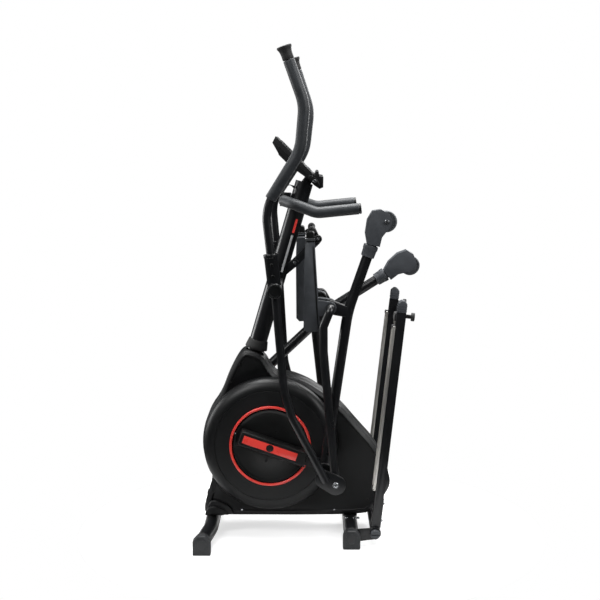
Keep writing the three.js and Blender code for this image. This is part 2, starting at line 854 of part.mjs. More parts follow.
// Drawn about the pedal-arm pin, which is where the connecting arm hangs.
const crankPinLocal = drawn.crankPin.clone().sub(drawn.pedalPin);
const rollerLocal = crankPinLocal.clone().add(rollerFromCrank);
const armWay = rollerFromCrank.clone().normalize();
const armBow = { bendAt: 0.63, bend: 50, endAt: 0.95, end: 24 };

/** Corners of the bent arm, from the crank pin to a share of the way to the roller. */
function armCorners(endShare, y) {
  const { bendAt, bend, endAt, end } = armBow;
  const share = (endShare - bendAt) / (endAt - bendAt);
  const offset = THREE.MathUtils.lerp(bend, end, share);
  return bowed(crankPinLocal, rollerLocal, [[0, 0], [bendAt, bend], [endShare, offset]], y);
}

function connectingArm(side) {
  const y = side * link.connectY;
  const half = link.connectDiameter / 2;
  const corners = armCorners(armBow.endAt, y);
  const root = bowed(crankPinLocal, rollerLocal, [[0.627, 52]], y)[0];
  return cut(
    join(
      tube(new BentPath(corners, 420, 4), link.connectDiameter, { sides: 14 }),
      rod(crankPinLocal, link.bearingDiameter / 2, y - half - 3, y + half + 3, 20),
      slab(linkOutline(point(root.x, root.z), 17, ORIGIN, link.lugRadius), y - half + 1, y + half - 1),
    ),
    rod(crankPinLocal, crank.pinRadius + 1, y - half - 4, y + half + 4),
    rod(ORIGIN, link.pedalArmDiameter / 2 + 1, y - half - 4, y + half + 4),
  );
}

/** Moulded head that holds the roller; its collar takes the end of the arm. */
function rollerHousing(side) {
  const y = side * link.connectY;
  const half = roller.width / 2 + 14;
  const front = point(-armWay.y, armWay.x);
  const place = (along, forward) =>
    rollerLocal.clone().addScaledVector(armWay, along).addScaledVector(front, forward);
  const outline = [
    place(-84, 2),
    place(-84, 44),
    place(-52, 58),
    place(-8, 62),
    place(24, 52),
    place(34, 26),
    place(26, -4),
    place(8, -16),
    place(-14, -16),
    place(-34, -6),
    place(-52, 2),
  ];
  const slot = roller.width / 2 + 3;
  const arm = new BentPath(armCorners(armBow.endAt + 0.008, y), 420, 4).between(0.8, 1);
  return join(
    cut(
      slab(outline, y - half, y + half),
      rod(rollerLocal, roller.radius + 4, y - slot, y + slot, 28),
      tube(arm, link.connectDiameter + 2 * GAP + 1, { sides: 14 }),
    ),
    rod(rollerLocal, roller.axleRadius, y - slot - 1, y + slot + 1, 12),
  );
}

function rollerWheel(side) {
  const y = side * link.connectY;
  const half = roller.width / 2;
  const bore = roller.axleRadius + 1;
  return turned(
    ORIGIN,
    [
      [bore, y - half],
      [roller.radius - 3, y - half],
      [roller.radius, y - half + 4],
      [roller.radius, y + half - 4],
      [roller.radius - 3, y + half],
      [bore, y + half],
    ],
    28,
  );
}

// ---------------------------------------------------------------- rails

/** How far the folded rails lean: as parked, or further where they are long enough to meet a roller head. */
function foldedLean() {
  const needed = Object.values(SIDES).map((side) => {
    const { crankPin, pedalPin } = restPins(side);
    const head = polar(link.connectReach, angleOf(pedalPin.clone().sub(crankPin)) + link.connectTurn);
    const way = crankPin.clone().add(head).sub(railAxis);
    const passes = rail.length > way.length() - roller.radius - rail.depth;
    return passes ? angleOf(way) + degrees(Math.asin(rail.headClearance / way.length())) : rail.lean;
  });
  return Math.max(rail.lean, ...needed);
}

// Drawn along the rail: how far from the hinge, and how far towards the running side.
const railLean = foldedLean();
const footAt = rail.length - rail.footInset;
const stripAt = rail.length - rail.stripInset;
const trackEnd = rail.length - rail.trackInset;
const railWay = polar(1, railLean);
const railFront = point(-railWay.y, railWay.x);
const onRail = (along, forward) => railWay.clone().multiplyScalar(along).addScaledVector(railFront, forward);
const railStrip = (from, to, low, high) => [onRail(from, low), onRail(to, low), onRail(to, high), onRail(from, high)];

function railFrame() {
  const half = rail.depth / 2;
  const end = rail.length - rail.capLength - GAP;
  const tubes = Object.values(SIDES).map((side) => {
    const inner = side * (rail.y - rail.width / 2);
    const outer = side * (rail.y + rail.width / 2);
    return slab(railStrip(0, end, -half, half), inner, outer);
  });
  const hingeTube = rail.y + rail.width / 2;
  const cross = rail.y - rail.width / 2 + 2;
  const strip = slab(railStrip(stripAt - 56, stripAt - 26, -half + 2, -half + 8), -cross, cross);
  const stemRoom = Object.values(SIDES).map((side) =>
    slab(railStrip(footAt - 7, footAt + 7, -half - 1, half - 8), side * (rail.y - 7), side * (rail.y + 7)),
  );
  return cut(
    join(...tubes, strip, rod(ORIGIN, half, -hingeTube, hingeTube)),
    rod(ORIGIN, rail.pinRadius + GAP, -hingeTube - 1, hingeTube + 1),
    ...stemRoom,
  );
}

function track(side) {
  const half = rail.depth / 2 + GAP;
  return slab(
    railStrip(rail.trackStart, trackEnd, half, half + rail.trackThickness),
    side * (rail.y - rail.trackWidth / 2),
    side * (rail.y + rail.trackWidth / 2),
  );
}

function railCap(side) {
  const half = rail.depth / 2;
  const from = rail.length - rail.capLength;
  return slab(
    [
      onRail(from, -half),
      onRail(rail.length - 10, -half),
      onRail(rail.length, -half + 10),
      onRail(rail.length, half - 10),
      onRail(rail.length - 10, half),
      onRail(from, half),
    ],
    side * (rail.y - rail.width / 2),
    side * (rail.y + rail.width / 2),
  );
}

/** Levelling foot under the free end of a rail: a square stem and a wide knob. */
function levellingFoot(side) {
  const half = rail.depth / 2;
  const y = side * rail.y;
  const stem = slab(
    railStrip(footAt - 6, footAt + 6, -half - rail.footStem - rail.footThickness / 2, half - 10),
    y - 6,
    y + 6,
  );
  const knob = new THREE.CylinderGeometry(rail.footRadius, rail.footRadius, rail.footThickness, 18);
  const at = onRail(footAt, -half - rail.footStem - rail.footThickness / 2);
  knob.rotateZ(Math.PI / 2).rotateY(radians(railLean)).translate(at.x, y, at.y);
  return join(stem, solid(knob));
}

const hingeReach = rail.y + rail.width / 2 + rail.plate + 4;

/** Slotted locking knob on the outer end of the hinge pin. */
function lockKnob() {
  const seat = -hingeReach - 1;
  const outer = seat - 13;
  return cut(
    turned(ORIGIN, [[0, seat], [16, seat], [16, outer + 2], [14, outer], [0, outer]], 20),
    box([-20, 20], [outer - 1, outer + 4], [-2.5, 2.5]),
  );
}

// ---------------------------------------------------------------- console and handlebars

const consoleAxis = mastTop.clone().add(point(16, 16));
const consoleBoss = { radius: 13, half: 26 };
const consoleLow = point(12, 1231);
const consoleHigh = point(-115, 1357);
const faceWay = consoleHigh.clone().sub(consoleLow).normalize();
const faceOut = point(faceWay.y, -faceWay.x);
const faceLength = consoleHigh.distanceTo(consoleLow);
const onFace = (up, out) =>
  consoleLow.clone().addScaledVector(faceWay, up).addScaledVector(faceOut, out).sub(consoleAxis);

/** Slanted housing with a ledge and a hook below that hold a tablet. */
function consoleBody() {
  const outline = [
    onFace(0, 0),
    onFace(4, 14),
    onFace(-2, 17),
    onFace(-12, 8),
    onFace(-24, 16),
    onFace(-47, -8),
    onFace(-42, -20),
    onFace(-22, -24),
    onFace(10, -24),
    onFace(70, -34),
    onFace(130, -34),
    onFace(172, -22),
    onFace(faceLength, 0),
  ];
  const half = console_.screenWidth / 2;
  const screenUp = [58, 58 + console_.screenLength];
  const pocket = [
    onFace(screenUp[0] - GAP, -console_.screenInset - GAP),
    onFace(screenUp[1] + GAP, -console_.screenInset - GAP),
    onFace(screenUp[1] + GAP, 2),
    onFace(screenUp[0] - GAP, 2),
  ];
  const bossRoom = consoleBoss.half + 2;
  return cut(
    slab(outline, -console_.halfWidth, console_.halfWidth),
    slab(pocket, -half - GAP, half + GAP),
    rod(ORIGIN, consoleBoss.radius + 4, -bossRoom, bossRoom),
    slab(barOutline(point(0, 0), mastTop.clone().sub(consoleAxis).multiplyScalar(4), mast.diameter + 12), -bossRoom, bossRoom),
    ...buttonPlaces.map((y) => buttonSolid(y, console_.buttonRadius + 0.8, -9, 3)),
  );
}

function consoleScreen() {
  const half = console_.screenWidth / 2;
  const up = [58, 58 + console_.screenLength];
  const depth = console_.screenInset;
  return slab(
    [onFace(up[0], -depth), onFace(up[1], -depth), onFace(up[1], 0.5), onFace(up[0], 0.5)],
    -half,
    half,
  );
}

const buttonPlaces = [-48, 0, 48];

/** A round key square to the console's face, between two depths. */
function buttonSolid(y, radius, from, to) {
  const geometry = new THREE.CylinderGeometry(radius, radius, to - from, 16);
  const at = onFace(30, (from + to) / 2);
  geometry.rotateZ(-Math.PI / 2).rotateY(radians(angleOf(faceOut) - 90)).translate(at.x, y, at.y);
  return solid(geometry);
}

const barFront = point(-88, 1147);
const barCorners = () => {
  const { halfWidth, reach, height } = handlebar;
  const half = [
    [reach, halfWidth, height],
    [18, halfWidth, height - 14],
    [-52, halfWidth - 20, height + 12],
    [barFront.x, halfWidth - 80, barFront.y],
  ];
  const leftSide = half.map(([x, y, z]) => new THREE.Vector3(x, -y, z));
  const rightSide = half.map(([x, y, z]) => new THREE.Vector3(x, y, z)).reverse();
  return [...leftSide, ...rightSide];
};

const barPath = new BentPath(barCorners(), 60, 18);

/** Fixed U-shaped bar with the clamp that seats it against the mast. */
function fixedHandlebar() {
  const clampFront = barFront.x - handlebar.diameter / 2 - 3;
  const clamp = box([clampFront, clampFront + 34], [-24, 24], [barFront.y - 22, barFront.y + 22]);
  return cut(
    join(tube(barPath, handlebar.diameter), clamp),
    tube(straight(atY(mastFoot, 0), atY(mastTop, 0)), mast.diameter + 2 * GAP, { sides: 20 }),
  );
}

const gripShare = 0.36;
const barGrip = (side) => {
  const [from, to] = side < 0 ? [0.004, gripShare] : [1 - gripShare, 0.996];
  return tube(barPath.between(from, to), handlebar.gripDiameter, { bore: handlebar.diameter + 2 * GAP });
};

/** Thin pulse wire: out of the front of the mast, down in a loop and back up to the bar. */
const wireRoute = [
  [-58.5, -20, 1190],
  [-65, -21, 1194],
  [-73, -26, 1196],
  [-81, -34, 1193],
  [-87, -44, 1186],
  [-90, -54, 1177],
  [-90, -60, 1169],
  [-89, -62, 1162.5],
].map(([x, y, z]) => new THREE.Vector3(x, y, z));

const pulseWire = () => tube(new BentPath(wireRoute, 10, 30), wireDiameter, { sides: 8 });

// ---------------------------------------------------------------- storage latch

const latchCross = point(2, 1048).sub(latchAxis);
const latchElbow = point(20, 1008).sub(latchAxis);

function latchBar() {
  const half = latch.barWidth / 2;
  return cut(
    join(
      slab(linkOutline(ORIGIN, 13, latchElbow, 14), -half, half),
      slab(linkOutline(latchElbow, 14, latchCross, latch.crossRadius), -half, half),
      rod(latchCross, latch.crossRadius, -latch.crossHalf, latch.crossHalf),
    ),
    rod(ORIGIN, latch.pinRadius + GAP, -half - 1, half + 1, 12),
  );
}

// ---------------------------------------------------------------- assembly

add(model, "main_frame", finishes.blackTube, mainFrame());
add(model, "mast", finishes.blackTube, mastBody());
add(model, "mast_boot", finishes.plastic, mastBoot());
add(model, "swing_axle", finishes.steel, swingAxleBody());
add(model, "front_stabilizer", finishes.blackTube, frontStabilizerBody());
add(model, "rear_stabilizer", finishes.blackTube, rearStabilizerBody());
add(model, "drive_belt", finishes.rubber, driveBelt());
add(model, "fixed_handlebar", finishes.blackTube, fixedHandlebar());
add(model, "pulse_wire", finishes.rubber, pulseWire());

const crankGroup = pivotGroup(model, crankAxis);
add(crankGroup, "crank_axle", finishes.steel, crankAxleBody());
add(crankGroup, "drive_pulley", finishes.iron, drivePulley());

add(pivotGroup(model, idlerAxis), "idler_pulley", finishes.iron, idlerPulley());

const flywheelGroup = pivotGroup(model, flywheelAxis);
add(flywheelGroup, "flywheel", finishes.iron, join(flywheelBody(), flywheelAxle()));
add(pivotGroup(model, flywheelAxis), "magnet_arm", finishes.steel, magnetArm());

const railGroup = pivotGroup(model, railAxis);
add(railGroup, "rail_frame", finishes.blackTube, railFrame());
add(railGroup, "lock_knob", finishes.plastic, lockKnob());

const consoleGroup = pivotGroup(model, consoleAxis);
add(consoleGroup, "console_body", finishes.plastic, consoleBody());
add(consoleGroup, "console_screen", finishes.screen, consoleScreen());
buttonPlaces.forEach((y, i) => {
  add(consoleGroup, `console_button_${i + 1}`, finishes.grey, buttonSolid(y, console_.buttonRadius, -6, 2.5));
});

add(pivotGroup(model, latchAxis), "latch_bar", finishes.blackTube, latchBar());

const wheelAt = (side) => point(frontStabilizer.x - frontStabilizer.bow - 11, transportWheel.radius + 3.5);

Object.entries(SIDES).forEach(([name, side]) => {
  add(model, `shroud_${name}`, finishes.plastic, shroudShell(side));
  add(model, `trim_ring_${name}`, finishes.red, trimRing(side));
  const frontX = frontStabilizer.x - frontStabilizer.bow;
  add(
    model,
    `front_foot_${name}`,
    finishes.grey,
    footCapBody(frontX, frontStabilizer.halfLength, side, wheelAt(side)),
  );
  add(model, `rear_foot_${name}`, finishes.grey, footCapBody(rearStabilizer.x, rearStabilizer.halfLength, side));
  add(model, `bar_grip_${name}`, finishes.foam, barGrip(side));

  const wheel = transportWheel;
  const wheelY = side * (frontStabilizer.halfLength - footCap.length / 2);
  const wheelGroup = pivotGroup(model, wheelAt(side));
  add(
    wheelGroup,
    `transport_wheel_${name}`,
    finishes.rubber,
    cut(
      rod(ORIGIN, wheel.radius, wheelY - wheel.width / 2, wheelY + wheel.width / 2, 20),
      rod(ORIGIN, wheel.pinRadius + 1, wheelY - wheel.width, wheelY + wheel.width, 12),
    ),
  );

  add(crankGroup, `crank_arm_${name}`, finishes.steel, crankArm(side));
  add(crankGroup, `crank_cover_${name}`, finishes.gloss, crankCover(side));
  add(crankGroup, `crank_disc_${name}`, finishes.gloss, crankDisc(side));

  const pins = restPins(side);
  const swingGroup = pivotGroup(model, swingAxis, pins.turn);
  add(swingGroup, `swing_arm_${name}`, finishes.blackTube, swingArm(side));
  add(swingGroup, `swing_grip_${name}`, finishes.foam, swingGrip(side));

  const pedalTurn = angleOf(pins.pedalPin.clone().sub(pins.lowerPin)) - drawnPedalAngle;
  add(pivotGroup(model, pins.lowerPin, pedalTurn), `pedal_arm_${name}`, finishes.blackTube, pedalArm(side));
  add(pivotGroup(model, pins.pedalPin, pedalTurn), `pedal_${name}`, finishes.grey, pedalBody(side));

  const connectTurn = angleOf(pins.pedalPin.clone().sub(pins.crankPin)) - drawnConnectAngle;
  const connectGroup = pivotGroup(model, pins.pedalPin, connectTurn);
  add(connectGroup, `connecting_arm_${name}`, finishes.blackTube, connectingArm(side));
  add(connectGroup, `roller_housing_${name}`, finishes.grey, rollerHousing(side));
  add(pivotGroup(connectGroup, rollerLocal), `roller_${name}`, finishes.rubber, rollerWheel(side));

  add(railGroup, `track_${name}`, finishes.aluminium, track(side));
  add(railGroup, `rail_cap_${name}`, finishes.plastic, railCap(side));
  add(railGroup, `levelling_foot_${name}`, finishes.grey, levellingFoot(side));
});

// The origin goes on the floor, under the middle of the whole object.
model.updateMatrixWorld(true);
const bounds = new THREE.Box3().setFromObject(model, true);
const middle = bounds.getCenter(new THREE.Vector3());
model.position.set(-middle.x, -middle.y, -bounds.min.z);

export default model;
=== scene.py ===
"""Folding front-drive elliptical trainer, stood up in its folded storage position.

Sizes are millimetres in the drawing's own frame: +X to the rear, -Y the user's left, +Z up.
Every piece is modelled at its pivot and then laid in place, in metres.
"""

import json
import logging
import math
from collections.abc import Callable, Iterator, Sequence
from contextlib import contextmanager
from dataclasses import dataclass, field
from enum import Enum
from itertools import pairwise

import bmesh
import bpy
from mathutils import Matrix, Vector

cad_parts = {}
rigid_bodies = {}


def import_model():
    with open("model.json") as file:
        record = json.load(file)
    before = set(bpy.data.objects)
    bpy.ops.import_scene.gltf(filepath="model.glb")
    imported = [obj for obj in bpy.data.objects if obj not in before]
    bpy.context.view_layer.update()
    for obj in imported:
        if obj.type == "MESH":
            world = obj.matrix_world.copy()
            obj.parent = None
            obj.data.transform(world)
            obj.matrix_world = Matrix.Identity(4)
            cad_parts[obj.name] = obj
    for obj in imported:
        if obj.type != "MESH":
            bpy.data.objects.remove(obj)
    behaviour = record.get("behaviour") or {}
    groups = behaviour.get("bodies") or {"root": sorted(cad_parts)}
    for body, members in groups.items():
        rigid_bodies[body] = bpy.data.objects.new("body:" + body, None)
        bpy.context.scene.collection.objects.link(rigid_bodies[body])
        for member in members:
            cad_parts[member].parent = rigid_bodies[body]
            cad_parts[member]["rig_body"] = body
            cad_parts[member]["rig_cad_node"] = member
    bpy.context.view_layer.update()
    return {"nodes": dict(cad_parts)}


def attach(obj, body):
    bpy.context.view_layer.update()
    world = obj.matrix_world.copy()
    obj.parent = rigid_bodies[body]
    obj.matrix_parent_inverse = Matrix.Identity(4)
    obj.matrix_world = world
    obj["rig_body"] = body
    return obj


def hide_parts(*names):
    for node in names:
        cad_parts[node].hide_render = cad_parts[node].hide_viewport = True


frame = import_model()

log = logging.getLogger("elliptical_trainer")

MM = 0.001
DRAWING_SHIFT = 0.2087  # mm from the drawing's zero to the middle of the object, along X
MERGE = 0.02 * MM  # vertices closer than this are one
SMOOTH_ANGLE = math.radians(35)  # faces that meet at less are shaded smooth
CUT_LEFT = 0.5  # a cut that leaves less of a piece's length has failed
Point = tuple[float, float]


class Side(Enum):
    """A side of the machine; its value is the sign of Y."""

    LEFT = -1
    RIGHT = 1

    @property
    def word(self) -> str:
        """The side's name as pieces and bodies use it."""
        return self.name.lower()


# ------------------------------------------------------------------ plane geometry


def polar(length: float, angle: float) -> Vector:
    """A point at that length and angle from +Z towards +X, in the X-Z plane."""
    turn = math.radians(angle)
    return Vector((length * math.sin(turn), 0, length * math.cos(turn)))


def angle_of(way: Vector) -> float:
    """Degrees from +Z towards +X."""
    return math.degrees(math.atan2(way.x, way.z))


def flat(x: float, z: float) -> Vector:
    """A point in the X-Z plane."""
    return Vector((x, 0, z))


def across(y: float) -> Vector:
    """A way or a shift across the machine."""
    return Vector((0, y, 0))


def front_of(way: Vector) -> Vector:
    """The unit vector square to a way, on its front side."""
    side = Vector((-way.z, 0, way.x)).normalized()
    return -side if side.x > 0 else side


def bowed(a: Vector, b: Vector, corners: Sequence[Point], y: float = 0) -> list[Vector]:
    """Corners of a bent piece between two points.

    Args:
        a: The start.
        b: The end.
        corners: Pairs of the share of the way and the offset to the front, in mm.
        y: Where the piece lies across the machine.

    Returns:
        The corners in mm.
    """
    front = front_of(b - a)
    return [a.lerp(b, share) + front * offset + across(y) for share, offset in corners]


def arc(centre: Vector, radius: float, start: float, end: float, steps: int) -> list[Point]:
    """Points of an arc, with angles from +Z towards +X."""
    spots = [centre + polar(radius, start + (end - start) * i / steps) for i in range(steps + 1)]
    return [(p.x, p.z) for p in spots]


def link_outline(a: Vector, radius_a: float, b: Vector, radius_b: float, steps: int = 14) -> list[Point]:
    """Outline of a link: two round ends joined by straight sides.

    Args:
        a: The first point.
        radius_a: The radius at the first point.
        b: The second point.
        radius_b: The radius at the second point.
        steps: How many steps each round end has.

    Returns:
        The outline.
    """
    heading = angle_of(b - a)
    spread = math.degrees(math.asin((radius_a - radius_b) / (b - a).length))
    far = arc(b, radius_b, heading - 90 + spread, heading + 90 - spread, steps)
    near = arc(a, radius_a, heading + 90 - spread, heading + 270 + spread, steps)
    return far + near


def rounded(
    outline: Sequence[Point], rounds: int = 2, share: float = 0.25, sharp: Sequence[int] = (),
) -> list[Point]:
    """Cuts the corners of an outline again and again, so that it turns into a smooth line.

    Args:
        outline: The closed outline.
        rounds: How many times its corners are cut.
        share: How much of each side a cut takes.
        sharp: Corners that stay as they are.

    Returns:
        The smoothed outline.
    """
    corners = [(x, z, i in sharp) for i, (x, z) in enumerate(outline)]
    for _ in range(rounds):
        cut: list[tuple[float, float, bool]] = []
        for i, (x, z, keep) in enumerate(corners):
            if keep:
                cut.append((x, z, True))
                continue
            for other in (corners[i - 1], corners[(i + 1) % len(corners)]):
                cut.append((x + (other[0] - x) * share, z + (other[1] - z) * share, False))
        corners = cut
    return [(x, z) for x, z, _ in corners]


def shrunk(outline: Sequence[Point], distance: float) -> list[Point]:
    """An outline moved inwards by the same distance everywhere.

    Args:
        outline: The closed outline, in mm.
        distance: How far it moves, in mm.

    Returns:
        The moved outline.
    """
    spots = [flat(x, z) for x, z in outline]
    area = sum(a.x * b.z - b.x * a.z for a, b in zip(spots, spots[1:] + spots[:1], strict=True))
    way = 1 if area > 0 else -1
    moved = []
    for i, here in enumerate(spots):
        a = (here - spots[i - 1]).normalized()
        b = (spots[(i + 1) % len(spots)] - here).normalized()
        normal = Vector((-a.z - b.z, 0, a.x + b.x)).normalized()
        spot = here + normal * way * distance / max(0.5, math.sqrt((1 + a.dot(b)) / 2))
        moved.append((spot.x, spot.z))
    return moved


def crossing(a: Vector, radius_a: float, b: Vector, radius_b: float) -> Vector:
    """The upper crossing of two circles in the X-Z plane.

    Args:
        a: The first point.
        radius_a: The radius at the first point.
        b: The second point.
        radius_b: The radius at the second point.

    Returns:
        The upper crossing.
    """
    way = b - a
    along = (radius_a**2 - radius_b**2 + way.length_squared) / (2 * way.length)
    height = math.sqrt(radius_a**2 - along**2)
    way.normalize()
    square = Vector((-way.z, 0, way.x))
    return max((a + way * along + square * h for h in (height, -height)), key=lambda p: p.z)


@dataclass(frozen=True)
class Linkage:
    """Pins and link lengths of the swing arms, pedal arms and cranks, in mm."""

    crank: Vector = field(default_factory=lambda: flat(-137, 321))
    crank_radius: float = 192
    crank_angle: float = 19
    swing: Vector = field(default_factory=lambda: flat(-115, 868))
    swing_y: float = 260
    lower_length: float = 673.5
    lower_angle: float = 17
    far_turn: float = 1.5
    pedal_arm: float = 580.3
    connect: float = 545.8
    connect_reach: float = 848.6
    connect_turn: float = 11.55
    hinge: Vector = field(default_factory=lambda: flat(215, 44))

    def pins(self, side: Side) -> tuple[float, Vector, Vector, Vector]:
        """Where one side's pins rest.

        Args:
            side: The side of the machine.

        Returns:
            The swing arm's turn, the crank pin, the lower pin and the pedal-arm pin.
        """
        turn = self.far_turn if side is Side.RIGHT else 0.0
        crank_pin = self.crank - polar(self.crank_radius, 90 + self.crank_angle) * side.value
        lower_pin = self.swing + polar(self.lower_length, 180 - self.lower_angle + turn)
        return turn, crank_pin, lower_pin, crossing(crank_pin, self.connect, lower_pin, self.pedal_arm)


LINKS = Linkage()
MAST_LEAN = 16.3
MAST_FOOT = flat(-189.6, 632)
LATCH_PIVOT = flat(-55, 932)
_, DRAWN_CRANK_PIN, DRAWN_LOWER_PIN, DRAWN_PEDAL_PIN = LINKS.pins(Side.LEFT)


@dataclass(frozen=True)
class Place:
    """Where a piece that was modelled at its pivot is laid: the pivot, and the turn about Y in degrees."""

    pivot: Vector = field(default_factory=lambda: flat(0, 0))
    turn: float = 0

    def lay(self, piece: bpy.types.Object) -> None:
        """Moves the piece there, with its place in its mesh.

        Args:
            piece: The piece.
        """
        choose(piece)
        shift = Vector((self.pivot.x + DRAWING_SHIFT, self.pivot.y, self.pivot.z)) * MM
        piece.matrix_world = Matrix.Translation(shift) @ Matrix.Rotation(math.radians(self.turn), 4, "Y")
        bpy.ops.object.transform_apply(location=True, rotation=True, scale=True)


FLOOR_FRAME = Place()


# ------------------------------------------------------------------ bench work


def deselect() -> None:
    """Leaves edit mode and selects nothing."""
    if bpy.context.object is not None and bpy.context.object.mode != "OBJECT":
        bpy.ops.object.mode_set(mode="OBJECT")
    bpy.ops.object.select_all(action="DESELECT")


def choose(piece: bpy.types.Object) -> None:
    """Makes one piece the only selected one.

    Args:
        piece: The piece.
    """
    deselect()
    piece.select_set(True)
    bpy.context.view_layer.objects.active = piece


@contextmanager
def editing(piece: bpy.types.Object, select: str = "VERT") -> Iterator[None]:
    """Edit mode on one piece, with everything selected at the start.

    Args:
        piece: The piece.
        select: What is selected: VERT, EDGE or FACE.

    Yields:
        Nothing; the piece is in edit mode inside the block.
    """
    choose(piece)
    bpy.ops.object.mode_set(mode="EDIT")
    bpy.ops.mesh.select_mode(type=select)
    bpy.ops.mesh.select_all(action="SELECT")
    yield
    bpy.ops.object.mode_set(mode="OBJECT")


def started(name: str) -> bpy.types.Object:
    """Names the primitive that was just added and puts its place in its mesh.

    Args:
        name: The piece's name.

    Returns:
        The piece.
    """
    piece = bpy.context.object
    piece.name = piece.data.name = name
    bpy.ops.object.transform_apply(location=True, rotation=True, scale=True)
    return piece


def close_up() -> None:
    """Merges doubles and turns the faces outwards, in edit mode."""
    bpy.ops.mesh.select_all(action="SELECT")
    bpy.ops.mesh.remove_doubles(threshold=MERGE)
    bpy.ops.mesh.normals_make_consistent(inside=False)


def select_faces(piece: bpy.types.Object, test: Callable[[bmesh.types.BMFace], bool]) -> int:
    """Selects the faces that pass a test, in edit mode, and returns how many there are.

    Args:
        piece: The piece.
        test: Says whether a face is wanted.

    Returns:
        How many faces are selected.
    """
    bpy.ops.mesh.select_mode(type="FACE")
    bpy.ops.mesh.select_all(action="DESELECT")
    shape = bmesh.from_edit_mesh(piece.data)
    found = [f for f in shape.faces if test(f)]
    for f in found:
        f.select_set(True)
    bmesh.update_edit_mesh(piece.data)
    return len(found)


def draw_line(name: str, points: Sequence[Vector]) -> bpy.types.Object:
    """Draws a line vertex by vertex, starting from a small plane merged to a point.

    Args:
        name: The piece's name.
        points: The points of the line, in mm.

    Returns:
        The piece.
    """
    deselect()
    bpy.ops.mesh.primitive_plane_add(size=MM, location=points[0] * MM)
    piece = started(name)
    with editing(piece):
        bpy.ops.mesh.merge(type="CENTER")
        for a, b in pairwise(points):
            bpy.ops.mesh.extrude_vertices_move(TRANSFORM_OT_translate={"value": (b - a) * MM})
    return piece


def plate(name: str, outline: Sequence[Point], y0: float, y1: float) -> bpy.types.Object:
    """An outline in the X-Z plane, filled and extruded from one Y value to another.

    Args:
        name: The piece's name.
        outline: The closed outline, in mm.
        y0: Where it starts across the machine, in mm.
        y1: Where it ends across the machine, in mm.

    Returns:
        The piece.
    """
    piece = draw_line(name, [Vector((x, y0, z)) for x, z in outline])
    with editing(piece):
        bpy.ops.mesh.edge_face_add()
        bpy.ops.mesh.extrude_region_move(TRANSFORM_OT_translate={"value": (0, (y1 - y0) * MM, 0)})
        close_up()
    return piece


def block(name: str, low: Sequence[float], high: Sequence[float]) -> bpy.types.Object:
    """A squared block between two corners, ready to be shaped.

    Args:
        name: The piece's name.
        low: Its lowest corner, in mm.
        high: Its highest corner.

    Returns:
        The piece.
    """
    deselect()
    low, high = Vector(low) * MM, Vector(high) * MM
    bpy.ops.mesh.primitive_cube_add(size=1, location=(low + high) / 2, scale=high - low)
    return started(name)


def turned(name: str, profile: Sequence[Point], segments: int = 48) -> bpy.types.Object:
    """A profile of (radius, y) points spun round the Y axis through the pivot.

    Args:
        name: The piece's name.
        profile: Points of radius and height along Y, in mm.
        segments: How many faces go round.

    Returns:
        The piece.
    """
    points = [Vector((radius, y, 0)) for radius, y in profile]
    if profile[0][0] > 0:
        points.append(points[0])
    piece = draw_line(name, points)
    with editing(piece):
        bpy.ops.mesh.spin(steps=segments, angle=math.tau, center=(0, 0, 0), axis=(0, 1, 0))
        close_up()
    return piece


def mirrored(half: Sequence[Point], y: float = 0) -> list[Point]:
    """A profile for turning, from points of radius and distance to its middle plane."""
    return [(r, y - h) for r, h in half] + [(r, y + h) for r, h in reversed(half)]


def aim(piece: bpy.types.Object, at: Vector, way: Vector = across(1)) -> bpy.types.Object:
    """Moves a piece drawn round the Y axis to a point in mm, with its axis along a way.

    Args:
        piece: The piece.
        at: Where it goes, in mm.
        way: The way that its axis points.

    Returns:
        The piece.
    """
    choose(piece)
    turn = across(1).rotation_difference(way.normalized()).to_matrix().to_4x4()
    piece.matrix_world = Matrix.Translation(at * MM) @ turn
    bpy.ops.object.transform_apply(location=True, rotation=True, scale=True)
    return piece


def bent_tube(
    name: str, corners: Sequence[Vector], diameter: float, bend: float, sides: int = 32, step: float = 4
) -> bpy.types.Object:
    """A tube drawn as on a bending machine: straight runs are extruded and bends are spun.

    Args:
        name: The piece's name.
        corners: The corners of its middle line, in mm.
        diameter: Its outside diameter.
        bend: The bend radius, smaller where the runs leave no room.
        sides: Facets round it.
        step: Degrees of bend for each ring.

    Returns:
        The closed tube.
    """
    deselect()
    way = (corners[1] - corners[0]).normalized()
    turn = Vector((0, 0, 1)).rotation_difference(way).to_euler()
    bpy.ops.mesh.primitive_circle_add(
        vertices=sides, radius=diameter / 2 * MM, location=corners[0] * MM, rotation=turn
    )
    piece = started(name)
    at = corners[0].copy()
    with editing(piece):
        for i, corner in enumerate(corners[1:], 1):
            last = i == len(corners) - 1
            trim = 0.0
            if not last:
                after = corners[i + 1] - corner
                room = 0.48 * min((corner - corners[i - 1]).length, after.length)
                after.normalize()
                angle = way.angle(after)
                radius = min(bend, room / math.tan(angle / 2))
                trim = radius * math.tan(angle / 2)
            run = way * ((corner - at).length - trim)
            bpy.ops.mesh.extrude_region_move(TRANSFORM_OT_translate={"value": run * MM})
            at += run
            if last:
                break
            inward = (after - way * math.cos(angle)).normalized()
            bpy.ops.mesh.spin(
                steps=max(2, round(math.degrees(angle) / step)),
                angle=-angle,
                center=(at + inward * radius) * MM,
                axis=way.cross(inward),
            )
            at = at + inward * radius * (1 - math.cos(angle)) + way * radius * math.sin(angle)
            way = after
        bpy.ops.mesh.select_all(action="SELECT")
        bpy.ops.mesh.fill_holes(sides=0)
        close_up()
    return piece


